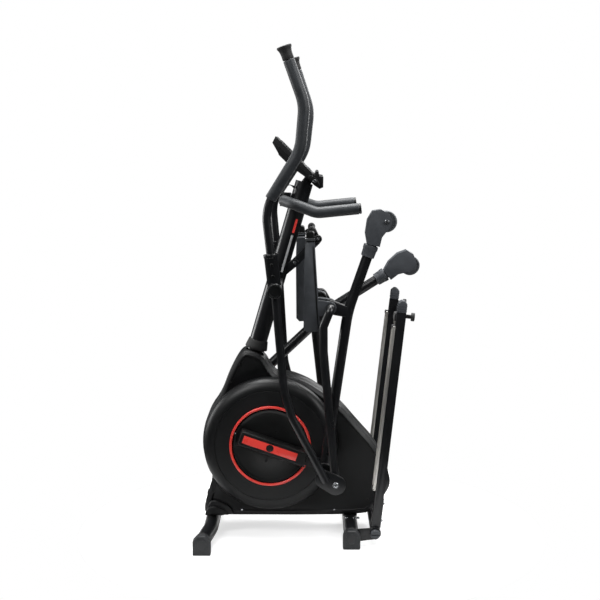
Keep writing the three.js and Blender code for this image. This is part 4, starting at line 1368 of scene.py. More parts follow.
@dataclass
class CrankSet(SubAssembly):
    """One side's red ring, dished disc, crank cover with its red insert, and cap."""

    side: Side
    ring: float = 129
    seat: float = 115.4
    cover_low: float = 122
    cover_high: float = 147
    front: float = 110
    rear: float = 132
    insert: Point = (190, 27)

    def build(self) -> None:
        """Makes the pieces of this side."""
        s, word = self.side.value, self.side.word
        bead = ((0, 0), (9, 0), (9, 3), (8, 5), (6, 6), (3, 6), (1, 5), (0, 3))
        ring = turned(f"red_ring_{word}", [(self.ring + r, s * (self.seat + y)) for r, y in bead], 144)
        self.put(soften(ring, 0.6, 2, 20), RED_ABS, "frame", f"trim_ring_{word}", place=Place(LINKS.crank))
        self.put(self.disc(), CRANK_ABS, "crank", f"crank_disc_{word}", place=Place(LINKS.crank))
        turn = LINKS.crank_angle + (0 if self.side is Side.LEFT else 180)
        lie = Place(LINKS.crank, turn)
        self.put(self.cover(), CRANK_ABS, "crank", f"crank_cover_{word}", place=lie)
        length, width = self.insert
        top = s * (self.cover_high - 0.9)
        stripe = block(
            f"red_insert_{word}", (-length / 2, top, -width / 2), (length / 2, top + s * 1.3, width / 2),
        )
        self.put(
            carve(soften(stripe, 0.5, 2), self.post("hole", 12.6, top - 4 * s, top + 4 * s)), RED_ABS,
            "crank", place=lie,
        )
        cap = stopper(f"crank_cap_{word}", 12, 3.6, 1.4, 1.0)
        self.put(aim(cap, across(top - s * 0.8), across(s)), CRANK_ABS, "crank", place=lie)
        dot = Screw(7, 2.2, 3).make(f"ring_pin_{word}", Vector((-117, s * 116, 45)), across(s))
        self.put(dot, ZINC_STEEL, "crank", place=Place(LINKS.crank))

    def post(self, name: str, radius: float, y0: float, y1: float) -> bpy.types.Object:
        """A round tool along Y at the pivot."""
        return turned(name, [(0, y0), (radius, y0), (radius, y1), (0, y1)], 40)

    def disc(self) -> bpy.types.Object:
        """The dished disc with a light rim, a shallow ring and two dimples.

        Returns:
            The disc.
        """
        s = self.side.value
        profile = (
            (10.4, 108), (124, 108), (
                126, 109.5,
            ), (126, 114.5), (124.5, 117), (121, 117), (117, 114.4), (112, 113.6),
            (60, 113.6), (56, 115), (30, 115), (28, 117), (10.4, 117),
        )
        disc = turned(f"crank_disc_cover_{self.side.word}", [(r, s * y) for r, y in profile], 128)
        for x, z in ((20, 48), (-14, -53)):
            dimple = self.post("dimple", 3.5, s * 112, s * 120)
            disc = carve(disc, aim(dimple, Vector((x, 0, z))))
        return soften(disc, 0)

    def cover(self) -> bpy.types.Object:
        """The box bar over the crank: wide at its foot, with a recess for the red insert.

        Returns:
            The bar.
        """
        s, word = self.side.value, self.side.word
        low, high = s * self.cover_low, s * self.cover_high
        bar = block(f"crank_bar_{word}", (-self.front, low, -32), (self.rear, high, 32))
        with editing(bar):
            select_faces(bar, lambda f: abs(f.calc_center_median().y - high * MM) < 1e-6)
            bpy.ops.transform.resize(value=(0.955, 1, 0.72), center_override=(0, high * MM, 0))
            bpy.ops.mesh.inset(thickness=4 * MM, depth=0)
        soften(bar, 2.6, 3, 25)
        length, width = self.insert
        recess = block(
            "recess", (-length / 2 - 0.8, high - s * 1.6, -width / 2 - 0.8),
            (length / 2 + 0.8, high + s * 3, width / 2 + 0.8),
        )
        under = block("under", (-92, low - s * 4, -24), (118, s * 137.5, 24))
        return soften(carve(bar, recess, under), 0)


@dataclass
class Mast(SubAssembly):
    """The leaning mast with its boot, cross axle and plain two-tone bar."""

    lean: float = MAST_LEAN
    foot: Vector = field(default_factory=MAST_FOOT.copy)
    length: float = 596
    diameter: float = 60

    def along(self, z: float) -> Vector:
        """The point of the mast's middle line at a height."""
        way = polar(1, self.lean)
        return self.foot + way * ((z - self.foot.z) / way.z)

    def build(self) -> None:
        """Makes the mast and what sits on it."""
        way = polar(1, self.lean)
        top = self.foot + way * self.length
        tube = bent_tube("mast_tube", [self.foot, top], self.diameter, 1, 64)
        ends = bent_tube(
            "swing_cross_tube", [LINKS.swing - across(234), LINKS.swing + across(234)], 42, 1, 48,
        )
        bore = turned("bore", [(0, -240), (9.4, -240), (9.4, 240), (0, 240)], 32)
        aim(bore, LINKS.swing)
        self.put(carve(soften(weld(tube, ends), 0), bore), POWDER_COAT, "frame", "mast")
        console_pivot = top + flat(16, 16)
        neck = plate("console_neck", link_outline(top - way * 30, 20, console_pivot, 13), -26, 26)
        self.put(soften(neck, 2), POWDER_COAT, "frame")
        for side in Side:
            eye = plate(
                f"latch_eye_{side.word}", link_outline(
                    self.along(887), 16, LATCH_PIVOT, 13,
                ), side.value * 11, side.value * 16
            )
            self.put(soften(eye, 1), POWDER_COAT, "frame")
        pin = Screw(12, 3, 5)
        ends = [pin.make(
            f"latch_pin_{side.word}", LATCH_PIVOT + across(side.value * 16.2), across(side.value),
        ) for side in Side]
        self.put(gather(*ends), ZINC_STEEL, "frame")
        boot = turned(
            "mast_collar",
            [(30.8, -22), (38, -22), (38.5, -18), (36.5, -8), (34.4, 2), (33.4, 8), (32.6, 9.5), (30.8, 9.5)],
            64,
        )
        self.put(aim(soften(boot, 0.8, 2), self.along(658), way), RUBBER, "frame", "mast_boot")
        self.bar("mast_bar_white", 905, 1030, WHITE_INK)
        self.bar("mast_bar_red", 1038, 1084, RED_ABS)

    def bar(self, name: str, low: float, high: float, ink: Finish) -> None:
        """A plain printed bar, 15 degrees of the tube wide, on its left flank.

        Args:
            name: The piece's name.
            low: The height where it starts, in mm.
            high: The height where it ends.
            ink: Its finish.
        """
        radius, reach = self.diameter / 2, (high - low) / math.cos(math.radians(self.lean))
        inner, outer = radius - 0.5, radius + 0.25
        loop = ((inner, 0), (outer, 0), (outer, reach), (inner, reach), (inner, 0))
        strip = draw_line(name, [Vector((r, y, 0)) for r, y in loop])
        with editing(strip):
            bpy.ops.mesh.spin(steps=6, angle=math.radians(15), center=(0, 0, 0), axis=(0, 1, 0))
            bpy.ops.mesh.select_all(action="SELECT")
            bpy.ops.mesh.fill_holes(sides=0)
            close_up()
        choose(strip)
        strip.rotation_euler = (0, math.radians(-45), 0)
        bpy.ops.object.transform_apply(location=True, rotation=True, scale=True)
        aim(strip, self.along(low), polar(1, self.lean))
        self.put(soften(strip, 0), ink, "frame")


@dataclass
class SwingArm(SubAssembly):
    """One swing arm: handle with foam and flared cap, socket, hub, lower tube and lug."""

    side: Side
    handle_length: float = 757.7
    handle_angle: float = 2.5
    tube: float = 27
    grip: float = 37
    socket: float = 44
    socket_length: float = 118
    hub: float = 50
    hub_width: float = 46
    lug_thickness: float = 6

    def build(self) -> None:
        """Makes the pieces of this arm at the swing axle."""
        s, word = self.side.value, self.side.word
        y, body = s * LINKS.swing_y, f"swing_{word}"
        out = across(s)
        lie = Place(LINKS.swing, LINKS.pins(self.side)[0])
        top = polar(self.handle_length, self.handle_angle)
        lower = polar(LINKS.lower_length, 180 - LINKS.lower_angle)
        zero = flat(0, 0)
        handle = bowed(zero, top, [(0, 0), (0.345, 42), (0.59, -62), (0.78, -68), (1, 0)], y)
        leg = bowed(zero, lower, [(0, 0), (0.47, 68), (0.61, 70), (0.965, 26)], y)
        tubes = gather(
            soften(bent_tube(f"swing_tube_{word}", handle, self.tube, 150), 0),
            soften(bent_tube("leg", leg, self.tube, 160), 0),
        )
        self.put(tubes, POWDER_COAT, body, f"swing_arm_{word}", place=lie)
        foam = bent_tube(f"swing_foam_{word}", between(handle, 0.37, 0.955), self.grip, 150, 40)
        self.put(soften(foam, 2.5, 3), FOAM, body, f"swing_grip_{word}", place=lie, foam=0.95)
        way = (handle[-1] - handle[-2]).normalized()
        bell = turned(
            f"handle_cap_{word}",
            [
                (0, -14), (17.6, -14), (18.6, -12), (18.2, 0), (19, 10), (21, 18), (23.6, 23), (24.4, 26),
                (24, 28.5), (22, 30), (14, 29), (0, 29),
            ],
            48,
        )
        self.put(aim(soften(bell, 0), handle[-1] - way * 20, way), RUBBER, body, place=lie)
        root = (handle[1] - handle[0]).normalized()
        sleeve = turned(
            f"handle_socket_{word}",
            [
                (13.6, 16), (22, 16), (22, self.socket_length - 12), (23.4, self.socket_length - 11),
                (23.4, self.socket_length - 1), (22.4, self.socket_length), (13.6, self.socket_length),
            ],
            48,
        )
        self.put(aim(soften(sleeve, 1, 2), handle[0], root), POWDER_COAT, body, place=lie)
        spots = [handle[0] + root * d + out * 20.6 for d in (48, 84)]
        self.put(Screw(11, 4, 5).row(f"socket_bolt_0_{word}", spots, out), CRANK_ABS, body, place=lie)
        half = self.hub_width / 2
        hub = turned(f"swing_hub_{word}", mirrored([(9.4, half), (23, half), (25, half - 2)]), 48)
        self.put(aim(soften(hub, 0), across(y)), POWDER_COAT, body, place=lie)
        cap = stopper(f"hub_cap_{word}", 23, 7, 2.5, 1.6)
        self.put(aim(cap, across(y + s * half), out), CRANK_ABS, body, place=lie)
        self.lug(lower, body, lie)

    def lug(self, lower: Vector, body: str, lie: Place) -> None:
        """The flat lug at the foot of the arm with its bolt and bright washer.

        Args:
            lower: The lower pin, from the swing axle.
            body: The body it rides on.
            lie: Where the arm rests.
        """
        s, word = self.side.value, self.side.word
        inner = 225 + 14 + 5
        upper = bowed(flat(0, 0), lower, [(0.955, 30)])[0]
        outline = link_outline(upper, 30, lower, 33, 18)
        lug = plate(f"swing_lug_{word}", outline, s * inner, s * (inner + self.lug_thickness))
        self.put(soften(lug, 1.4, 3), POWDER_COAT, body, place=lie)
        out = across(s)
        washer = turned(f"lug_washer_{word}", [(0, 0), (10, 0), (10, 1.2), (9.2, 2), (0, 2)], 40)
        bolt = Screw(13, 5, 6).make("bolt", lower + out * (inner + self.lug_thickness + 2), out)
        seat = lower + out * (inner + self.lug_thickness)
        self.put(gather(aim(soften(washer, 0), seat, out), bolt), ZINC_STEEL, body, place=lie)
        pin = bent_tube(f"lug_pin_{word}", [lower + out * 209, lower + out * inner], 14, 1, 28)
        self.put(soften(pin, 0.6, 2), ZINC_STEEL, body, place=lie)


@dataclass
class PedalArm(SubAssembly):
    """One pedal arm with its pedal: a J-shaped tube, the foot tray, its ribs, band and knob."""

    side: Side
    tube: float = 28
    y: float = 225
    inner: float = 72
    outer: float = 207
    toe: float = 76
    heel: float = 215
    offset: float = 36

    def build(self) -> None:
        """Makes the pieces about the lower pin."""
        s, word = self.side.value, self.side.word
        _, _, lower, pedal_pin = LINKS.pins(self.side)
        drawn = DRAWN_PEDAL_PIN - DRAWN_LOWER_PIN
        turn = angle_of(pedal_pin - lower) - angle_of(drawn)
        body = f"pedal_arm_{word}"
        lie = Place(lower, turn)
        corners = bowed(flat(0, 0), drawn, [(0, 0), (0.76, 27), (0.9, 25), (1, 0)], s * self.y)
        inboard = drawn + across(s * (self.inner + 34))
        arm = bent_tube(f"pedal_arm_tube_{word}", [*corners, inboard], self.tube, 16, 32, 6)
        barrel = turned("barrel", mirrored([(7.4, 15), (18, 15), (19, 14)]), 40)
        arm = gather(soften(arm, 0), aim(soften(barrel, 0), across(s * self.y)))
        self.put(arm, POWDER_COAT, body, f"pedal_arm_{word}", place=lie)
        cap = stopper(f"pedal_pin_cap_{word}", 19, 5, 2, 1.5)
        spot = drawn + across(s * (self.inner + 33))
        self.put(aim(cap, spot, across(-s)), CRANK_ABS, body, place=lie)
        self.tray(drawn, body, lie)

    def tray(self, drawn: Vector, body: str, lie: Place) -> None:
        """The foot tray with its ribbed floor, bright band and heel block.

        Args:
            drawn: The pedal-arm pin, from the lower pin.
            body: The body it rides on.
            lie: Where the arm rests.
        """
        s, word = self.side.value, self.side.word
        way = drawn.normalized()
        front = Vector((-way.z, 0, way.x))
        low = self.offset

        def spot(along: float, forward: float) -> Point:
            """A point of the tray, along its length and towards the foot."""
            p = drawn + way * along + front * forward
            return (p.x, p.z)

        tray = from_frame(f"pedal_{word}", f"pedal_tray_{word}", 2.2, 3)
        dress(tray, GREY_NYLON, body, f"pedal_{word}")
        for i in range(11):
            along = -58 + i * 24
            rise = low + 9 * (along + self.toe) / (self.heel + self.toe)
            rib = plate(
                f"pedal_rib_{i}_{word}",
                [
                    spot(along, rise + 8), spot(along + 9, rise + 8), spot(along + 8, rise + 11.5),
                    spot(along + 1, rise + 11.5),
                ],
                s * (self.inner + 14), s * (self.outer - 14),
            )
            self.put(soften(rib, 0.8, 2), RUBBER, body, place=lie)
        groove = plate(
            f"pedal_edge_{word}",
            rounded(
                [
                    spot(-self.toe + 10, low + 4), spot(self.heel - 12, low + 12),
                    spot(self.heel - 12, low + 17), spot(-self.toe + 10, low + 9),
                ],
                1,
            ),
            s * (self.outer - 1), s * (self.outer + 1.6),
        )
        self.put(soften(groove, 0.7, 2), CRANK_ABS, body, place=lie)
        band = plate(
            f"pedal_band_{word}",
            [
                spot(self.heel + 4, low + 6), spot(self.heel + 14, low + 7), spot(self.heel + 14, low + 40),
                spot(self.heel + 4, low + 40),
            ],
            s * (self.outer - 60), s * (self.outer - 2),
        )
        self.put(soften(band, 1.5, 2), ZINC_STEEL, body, place=lie)
        block_outline = [
            spot(self.heel - 6, low + 9), spot(self.heel + 34, low + 10), spot(self.heel + 37, low + 36),
            spot(self.heel - 6, low + 38),
        ]
        heel = plate(
            f"pedal_heel_block_{word}", rounded(block_outline, 1, 0.12), s * (self.outer - 56),
            s * (self.outer - 6),
        )
        self.put(soften(heel, 3, 3), CRANK_ABS, body, place=lie)
        knob = turned(
            f"pedal_knob_{word}",
            [(0, -18), (7, -18), (7, -6), (12, -4), (13, 0), (13, 8), (11, 11), (0, 11)], 24,
        )
        at = drawn + way * (self.heel + 10) + front * (low - 2) + across(s * (self.outer - 20))
        self.put(aim(soften(knob, 1, 2), at, across(s)), CRANK_ABS, body, place=lie)
        rivet = Screw(10, 2.5, 4).make(f"pedal_knob_screw_{word}", at + across(s * 11), across(s))
        self.put(rivet, ZINC_STEEL, body, place=lie)


@dataclass
class ConnectingArm(SubAssembly):
    """One connecting arm: bent tube, crank bearing, lug, roller head and roller."""

    side: Side
    tube: float = 34
    y: float = 175
    bearing: float = 52
    roller_radius: float = 35

    def build(self) -> None:
        """Makes the pieces about the pedal-arm pin."""
        s, word = self.side.value, self.side.word
        _, crank_pin, _, pedal_pin = LINKS.pins(self.side)
        drawn_way = DRAWN_PEDAL_PIN - DRAWN_CRANK_PIN
        turn = angle_of(pedal_pin - crank_pin) - angle_of(drawn_way)
        root = DRAWN_CRANK_PIN - DRAWN_PEDAL_PIN
        tip = root + polar(LINKS.connect_reach, angle_of(drawn_way) + LINKS.connect_turn)
        body, lie, y = f"connecting_arm_{word}", Place(pedal_pin, turn), s * self.y
        out = across(s)
        corners = bowed(root, tip, [(0, 0), (0.63, 50), (0.95, 24)], y)
        half = self.tube / 2
        tube = soften(bent_tube(f"connecting_tube_{word}", corners, self.tube, 420, 40, 1.5), 0)
        barrel = turned("barrel", mirrored([(9, half + 3), (25, half + 3), (26, half + 2)]), 48)
        tube = gather(tube, aim(soften(barrel, 0), root + across(y)))
        self.put(tube, POWDER_COAT, body, f"connecting_arm_{word}", place=lie)
        mid = bowed(root, tip, [(0.627, 52)])[0]
        lug = plate(
            f"connecting_lug_{word}", link_outline(mid, 17, flat(0, 0), 23), y - half + 1, y + half - 1,
        )
        self.put(soften(lug, 2.5, 3), POWDER_COAT, body, place=lie)
        cap = stopper(f"bearing_cap_{word}", 25, 6, 2.5, 1.5)
        bolt = Screw(15, 5, 7).make(f"bearing_bolt_{word}", root + across(y + s * (half + 7.4)), out)
        self.put(aim(cap, root + across(y + s * (half + 3)), out), CRANK_ABS, body, place=lie)
        self.put(bolt, ZINC_STEEL, body, place=lie)
        self.head(tip, corners, body, lie)

    def head(self, tip: Vector, corners: list[Vector], body: str, lie: Place) -> None:
        """The roller head with its collar, the roller and its bolts.

        Args:
            tip: The roller axle, from the pivot.
            corners: The corners of the arm's tube, in mm.
            body: The body it rides on.
            lie: Where the arm rests.
        """
        s, word, y = self.side.value, self.side.word, self.side.value * self.y
        out = across(s)
        housing = from_frame(f"roller_housing_{word}", f"roller_head_{word}", 3.2, 4)
        dress(housing, GREY_NYLON, body, f"roller_housing_{word}")
        way = (corners[-1] - corners[-2]).normalized()
        collar = turned(
            f"roller_collar_{word}", [
                (17.3, -24), (20, -24), (22, -22), (23, 0), (24.5, 4), (24.5, 14), (23, 16), (17.3, 16),
            ], 40
        )
        self.put(aim(soften(collar, 0), corners[-1] - way * 60, way), GREY_NYLON, body, place=lie)
        seat = tip + across(y + s * 25)
        bolt = Screw(16, 5, 7).make(f"roller_bolt_{word}", seat, out)
        self.put(bolt, ZINC_STEEL, body, place=lie)
        half = ((7, 11), (12, 11), (13, 9), (28, 9), (29, 11), (33, 11), (35, 7))
        wheel = turned(f"roller_tread_{word}", mirrored(half, y), 72)
        turn = Matrix.Rotation(math.radians(lie.turn), 4, "Y")
        self.put(
            soften(wheel, 0), GREY_TREAD, f"roller_{word}", f"roller_{word}",
            place=Place(lie.pivot + turn @ tip),
        )


@dataclass
class FixedHandlebar(SubAssembly):
    """The U-shaped fixed bar with its clamp, foam ends and end caps."""

    diameter: float = 28
    grip: float = 36
    corners: tuple[tuple[float, float, float], ...] = (
        (157, 214, 1127), (18, 214, 1113), (-52, 194, 1139), (-88, 134, 1147),
    )
    share: float = 0.36

    def build(self) -> None:
        """Makes the bar."""
        left = [Vector((x, -y, z)) for x, y, z in self.corners]
        line = left + [Vector((x, y, z)) for x, y, z in reversed(self.corners)]
        bar = bent_tube("fixed_bar", line, self.diameter, 60, 36)
        self.put(soften(bar, 0), POWDER_COAT, "frame", "fixed_handlebar")
        clamp = block("bar_clamp", (-105, -24, 1125), (-68, 24, 1169))
        hole = bent_tube("hole", [MAST_FOOT, flat(-22.3, 1204)], 60.8, 1, 48)
        self.put(soften(carve(clamp, hole), 3, 3), POWDER_COAT, "frame")
        screws = Screw(9, 3, 4).row("clamp_screw_0", [flat(-105, z) for z in (1135, 1159)], flat(-1, 0))
        self.put(screws, ZINC_STEEL, "frame")
        for side in Side:
            s, word = side.value, side.word
            ends = line if side is Side.LEFT else list(reversed(line))
            foam = bent_tube(f"bar_foam_{word}", between(ends, 0.004, self.share), self.grip, 60, 40)
            self.put(soften(foam, 2.5, 3), FOAM, "frame", f"bar_grip_{word}", foam=0.95)
            way = (ends[0] - ends[1]).normalized()
            cap = stopper(f"bar_end_{word}", 17, 5, 3, 0.6)
            self.put(aim(cap, ends[0] - way * 0.5, way), CRANK_ABS, "frame")
            ring = turned(
                f"bar_ring_{word}", [(14.2, 0), (18.4, 0), (19, 1), (19, 6), (18.4, 7), (14.2, 7)], 40,
            )
            place = between(ends, self.share, 0.9)
            self.put(aim(soften(ring, 0), place[0], place[1] - place[0]), RUBBER, "frame")


@dataclass
class Console(SubAssembly):
    """The slanted console with its window, bezel, keys, ledge pad and side caps."""

    low: Vector = field(default_factory=lambda: flat(12, 1231))
    high: Vector = field(default_factory=lambda: flat(-115, 1357))
    half_width: float = 150

    def spot(self, up: float, out: float) -> Vector:
        """A point of the side view: up the face, and out of it."""
        way = (self.high - self.low).normalized()
        return self.low + way * up + Vector((way.z, 0, -way.x)) * out

    def strip(self, name: str, corners: Sequence[Point], y0: float, y1: float) -> bpy.types.Object:
        """A plate with corners given up the face and out of it."""
        spots = [self.spot(*corner) for corner in corners]
        return plate(name, [(p.x, p.z) for p in spots], y0, y1)

    def build(self) -> None:
        """Makes the console."""
        body = "console"
        dress(from_frame("console_body", "console_housing", 2.4, 3), COVER_ABS, body, "console_body")
        dress(from_frame("console_screen", "console_window", 0.6, 2), DisplayGlass(), body, "console_screen")
        bezel = self.strip("console_bezel", [(48, 0), (160, 0), (160, 1.8), (48, 1.8)], -116, 116)
        hole = self.strip("hole", [(59, -3), (149, -3), (149, 5), (59, 5)], -104, 104)
        self.put(soften(carve(bezel, hole), 0.8, 2), CRANK_ABS, body)
        for i in (1, 2, 3):
            key = from_frame(f"console_button_{i}", f"console_key_{i}", 0.9, 3)
            dress(key, GREY_NYLON, f"console_button_{i}", f"console_button_{i}")
        for i, y in enumerate((-48, 0, 48)):
            ring = turned(
                f"key_ring_{i + 1}", [(10.2, 0), (13, 0), (12.4, 1.2), (10.8, 1.2), (10.2, 0.6)], 40,
            )
            at = self.spot(30, -0.2) + across(y)
            self.put(aim(soften(ring, 0), at, self.spot(0, 1) - self.spot(0, 0)), CRANK_ABS, body)
        pad = self.strip("ledge_pad", [(0.5, 2), (3.5, 12.5), (5.5, 11.8), (2.6, 1.4)], -120, 120)
        self.put(soften(pad, 0.5, 2), RUBBER, body)
        for side in Side:
            s, word = side.value, side.word
            corners = rounded(
                [(p.x, p.z) for p in (self.spot(*c) for c in (
                    (-8, -2), (-38, -10), (-36, -20), (-14, -22), (12, -21), (14, -10),
                ))],
                2,
            )
            wing = plate(f"console_side_{word}", corners, s * 149, s * 152.5)
            self.put(soften(wing, 1.4, 3), CRANK_ABS, body)
            knob = Screw(13, 3, 6).make(
                f"console_side_screw_{word}", self.spot(-14, -13) + across(s * 152.4), across(s),
            )
            self.put(knob, ZINC_STEEL, body)
            groove = self.strip(
                f"console_line_{word}", [(20, -13), (150, -15), (150, -17), (20, -15)], s * 149.4, s * 151,
            )
            self.put(soften(groove, 0.5, 2), CRANK_ABS, body)
        self.back()

    def back(self) -> None:
        """Ribs and screws on the console's rear side, which faces the front of the machine."""
        for i, y in enumerate((-110, -80, 80, 110)):
            rib = self.strip(
                f"console_back_rib_{i}", [(60, -33), (136, -33), (130, -36.5), (66, -36.5)], y - 2, y + 2,
            )
            self.put(soften(rib, 0.8, 2), COVER_ABS, "console")
        out = self.spot(0, -1) - self.spot(0, 0)
        spots = [self.spot(up, -34) + across(y) for up in (78, 122) for y in (-134, 134)]
        self.put(Screw(8, 2, 4).row("console_back_screw_0", spots, out), ZINC_STEEL, "console")


@dataclass
class StorageLatch(SubAssembly):
    """The swinging bar that holds the folded links: two flat runs and a cross rod with sleeves."""

    pivot: Vector = field(default_factory=LATCH_PIVOT.copy)
    elbow: Vector = field(default_factory=lambda: flat(20, 1008))
    cross: Vector = field(default_factory=lambda: flat(2, 1048))
    half_width: float = 10

    def build(self) -> None:
        """Makes the latch bar."""
        w = self.half_width
        low = plate("latch_bar_arm", link_outline(self.pivot, 13, self.elbow, 14), -w, w)
        high = plate("high", link_outline(self.elbow, 13.9, self.cross, 12.2), -w + 0.2, w - 0.2)
        rod = bent_tube("rod", [self.cross + across(-110), self.cross + across(110)], 22, 1, 36)
        bore = aim(turned("bore", [(0, -20), (5.4, -20), (5.4, 20), (0, 20)], 24), self.pivot)
        bar = soften(carve(weld(low, high, rod), bore), 1.2, 2, 40)
        self.put(bar, POWDER_COAT, "latch_bar", "latch_bar")
        for side in Side:
            s = side.value
            sleeve = turned(
                f"latch_sleeve_{side.word}",
                [
                    (0, s * 120), (9, s * 120), (12.4, s * 117), (12.8, s * 112), (12.8, s * 66),
                    (12, s * 64), (0, s * 64),
                ],
                40,
            )
            self.put(aim(soften(sleeve, 0), self.cross), RUBBER, "latch_bar")


@dataclass
class RailSet(SubAssembly):
    """The folded rails: tubes, aluminium tracks, end caps, bumper, levelling feet and locking knob."""

    lean: float = 6.28
    length: float = 787
    y: float = 175
    depth: float = 30

    def spot(self, along: float, forward: float) -> Vector:
        """A point along the rail and towards its running side."""
        way = polar(1, self.lean)
        return LINKS.hinge + way * along + Vector((-way.z, 0, way.x)) * forward

    def bar(self, name: str, corners: Sequence[Point], y0: float, y1: float) -> bpy.types.Object:
        """A plate with corners given along the rail and forward."""
        spots = [self.spot(*corner) for corner in corners]
        return plate(name, [(p.x, p.z) for p in spots], y0, y1)

    def build(self) -> None:
        """Makes the rails and what is on them."""
        body = "rails"
        dress(from_frame("rail_frame", "rail_tubes", 3, 3), POWDER_COAT, body, "rail_frame")
        strip = self.bar("rail_bright_strip", [(660, -7), (684, -7), (684, -5), (660, -5)], -157, 157)
        self.put(soften(strip, 0.8, 2), ANODISED, body)
        for side in Side:
            self.one(side, body)
        self.knob()
        bumper = self.bar("rail_bumper", [(694, -12), (722, -12), (722, 8), (694, 8)], -26, 26)
        self.put(soften(bumper, 4, 4), RUBBER, body)

    def one(self, side: Side, body: str) -> None:
        """The track, cap, foot and bolts of one rail.

        Args:
            side: The side of the machine.
            body: The body it rides on.
        """
        s, word = side.value, side.word
        dress(from_frame(f"track_{word}", f"aluminium_track_{word}", 1.2, 3), ANODISED, body, f"track_{word}")
        for i, dy in enumerate((-17.4, 15.4)):
            lip = self.bar(
                f"track_lip_{word}_{i}", [
                    (148, 23), (697, 23), (697, 25.4), (148, 25.4),
                ], s * self.y + dy, s * self.y + dy + 2
            )
            self.put(soften(lip, 0.5, 2), ANODISED, body)
        cap = from_frame(f"rail_cap_{word}", f"rail_end_cap_{word}", 3.4, 4)
        dress(cap, GREY_NYLON, body, f"rail_cap_{word}")
        for i in range(3):
            rib = self.bar(
                f"rail_cap_rib_{word}_{i}", [
                    (752 + 8 * i, -15.6), (755 + 8 * i, -15.6), (755 + 8 * i, 15.6), (752 + 8 * i, 15.6),
                ],
                s * self.y - 17.6, s * self.y + 17.6,
            )
            self.put(soften(rib, 1, 2), GREY_NYLON, body)
        for name, along in (("low", 149), ("high", 696)):
            stop = self.bar(
                f"track_stop_{name}_{word}",
                [(along - 6, 15), (along + 6, 15), (along + 6, 27), (along - 6, 27)], s * self.y - 16,
                s * self.y + 16,
            )
            self.put(soften(stop, 2, 3), RUBBER, body)
        foot = from_frame(f"levelling_foot_{word}", f"levelling_pad_{word}", 1.2, 3)
        dress(foot, RUBBER, f"levelling_foot_{word}", f"levelling_foot_{word}")
        bracket = self.bar(
            f"rail_bracket_{word}", [(20, -17), (120, -17), (120, -15), (20, -15)], s * self.y - 14,
            s * self.y + 14,
        )
        self.put(soften(bracket, 0.6, 2), ZINC_STEEL, body)
        way = self.spot(0, -1) - self.spot(0, 0)
        spots = [self.spot(along, -17) + across(s * self.y) for along in (40, 100)]
        self.put(Screw(12, 5, 6).row(f"rail_bolt_0_{word}", spots, way), ZINC_STEEL, body)

    def knob(self) -> None:
        """The slotted locking knob on the hinge pin, with its knurled rim, and the plain cap opposite."""
        seat = -202.0
        knob = turned(
            "lock_knob_body",
            [
                (0, seat), (15, seat), (16, seat - 1), (16, seat - 9), (14.6, seat - 10.4), (14, seat - 12.4),
                (12.6, seat - 13), (0, seat - 13),
            ],
            48,
        )
        slot = block("slot", (-30, seat - 20, -2.4), (30, seat - 9, 2.4))
        self.put(
            soften(carve(knob, slot), 0.5, 2, 40), GREY_NYLON, "lock_knob", "lock_knob",
            place=Place(LINKS.hinge),
        )
        grips = [
            aim(
                turned(f"lock_knob_grip_{i}", [(0, -3.6), (1.3, -3.6), (1.3, 3.6), (0, 3.6)], 10),
                across(seat - 5) + polar(15.6, i * 22.5),
            )
            for i in range(16)
        ]
        self.put(gather(*grips), GREY_NYLON, "lock_knob", place=Place(LINKS.hinge))
        cap = Screw(22, 8, 8).make("hinge_bolt", LINKS.hinge + across(201), across(1))
        self.put(cap, ZINC_STEEL, "frame")


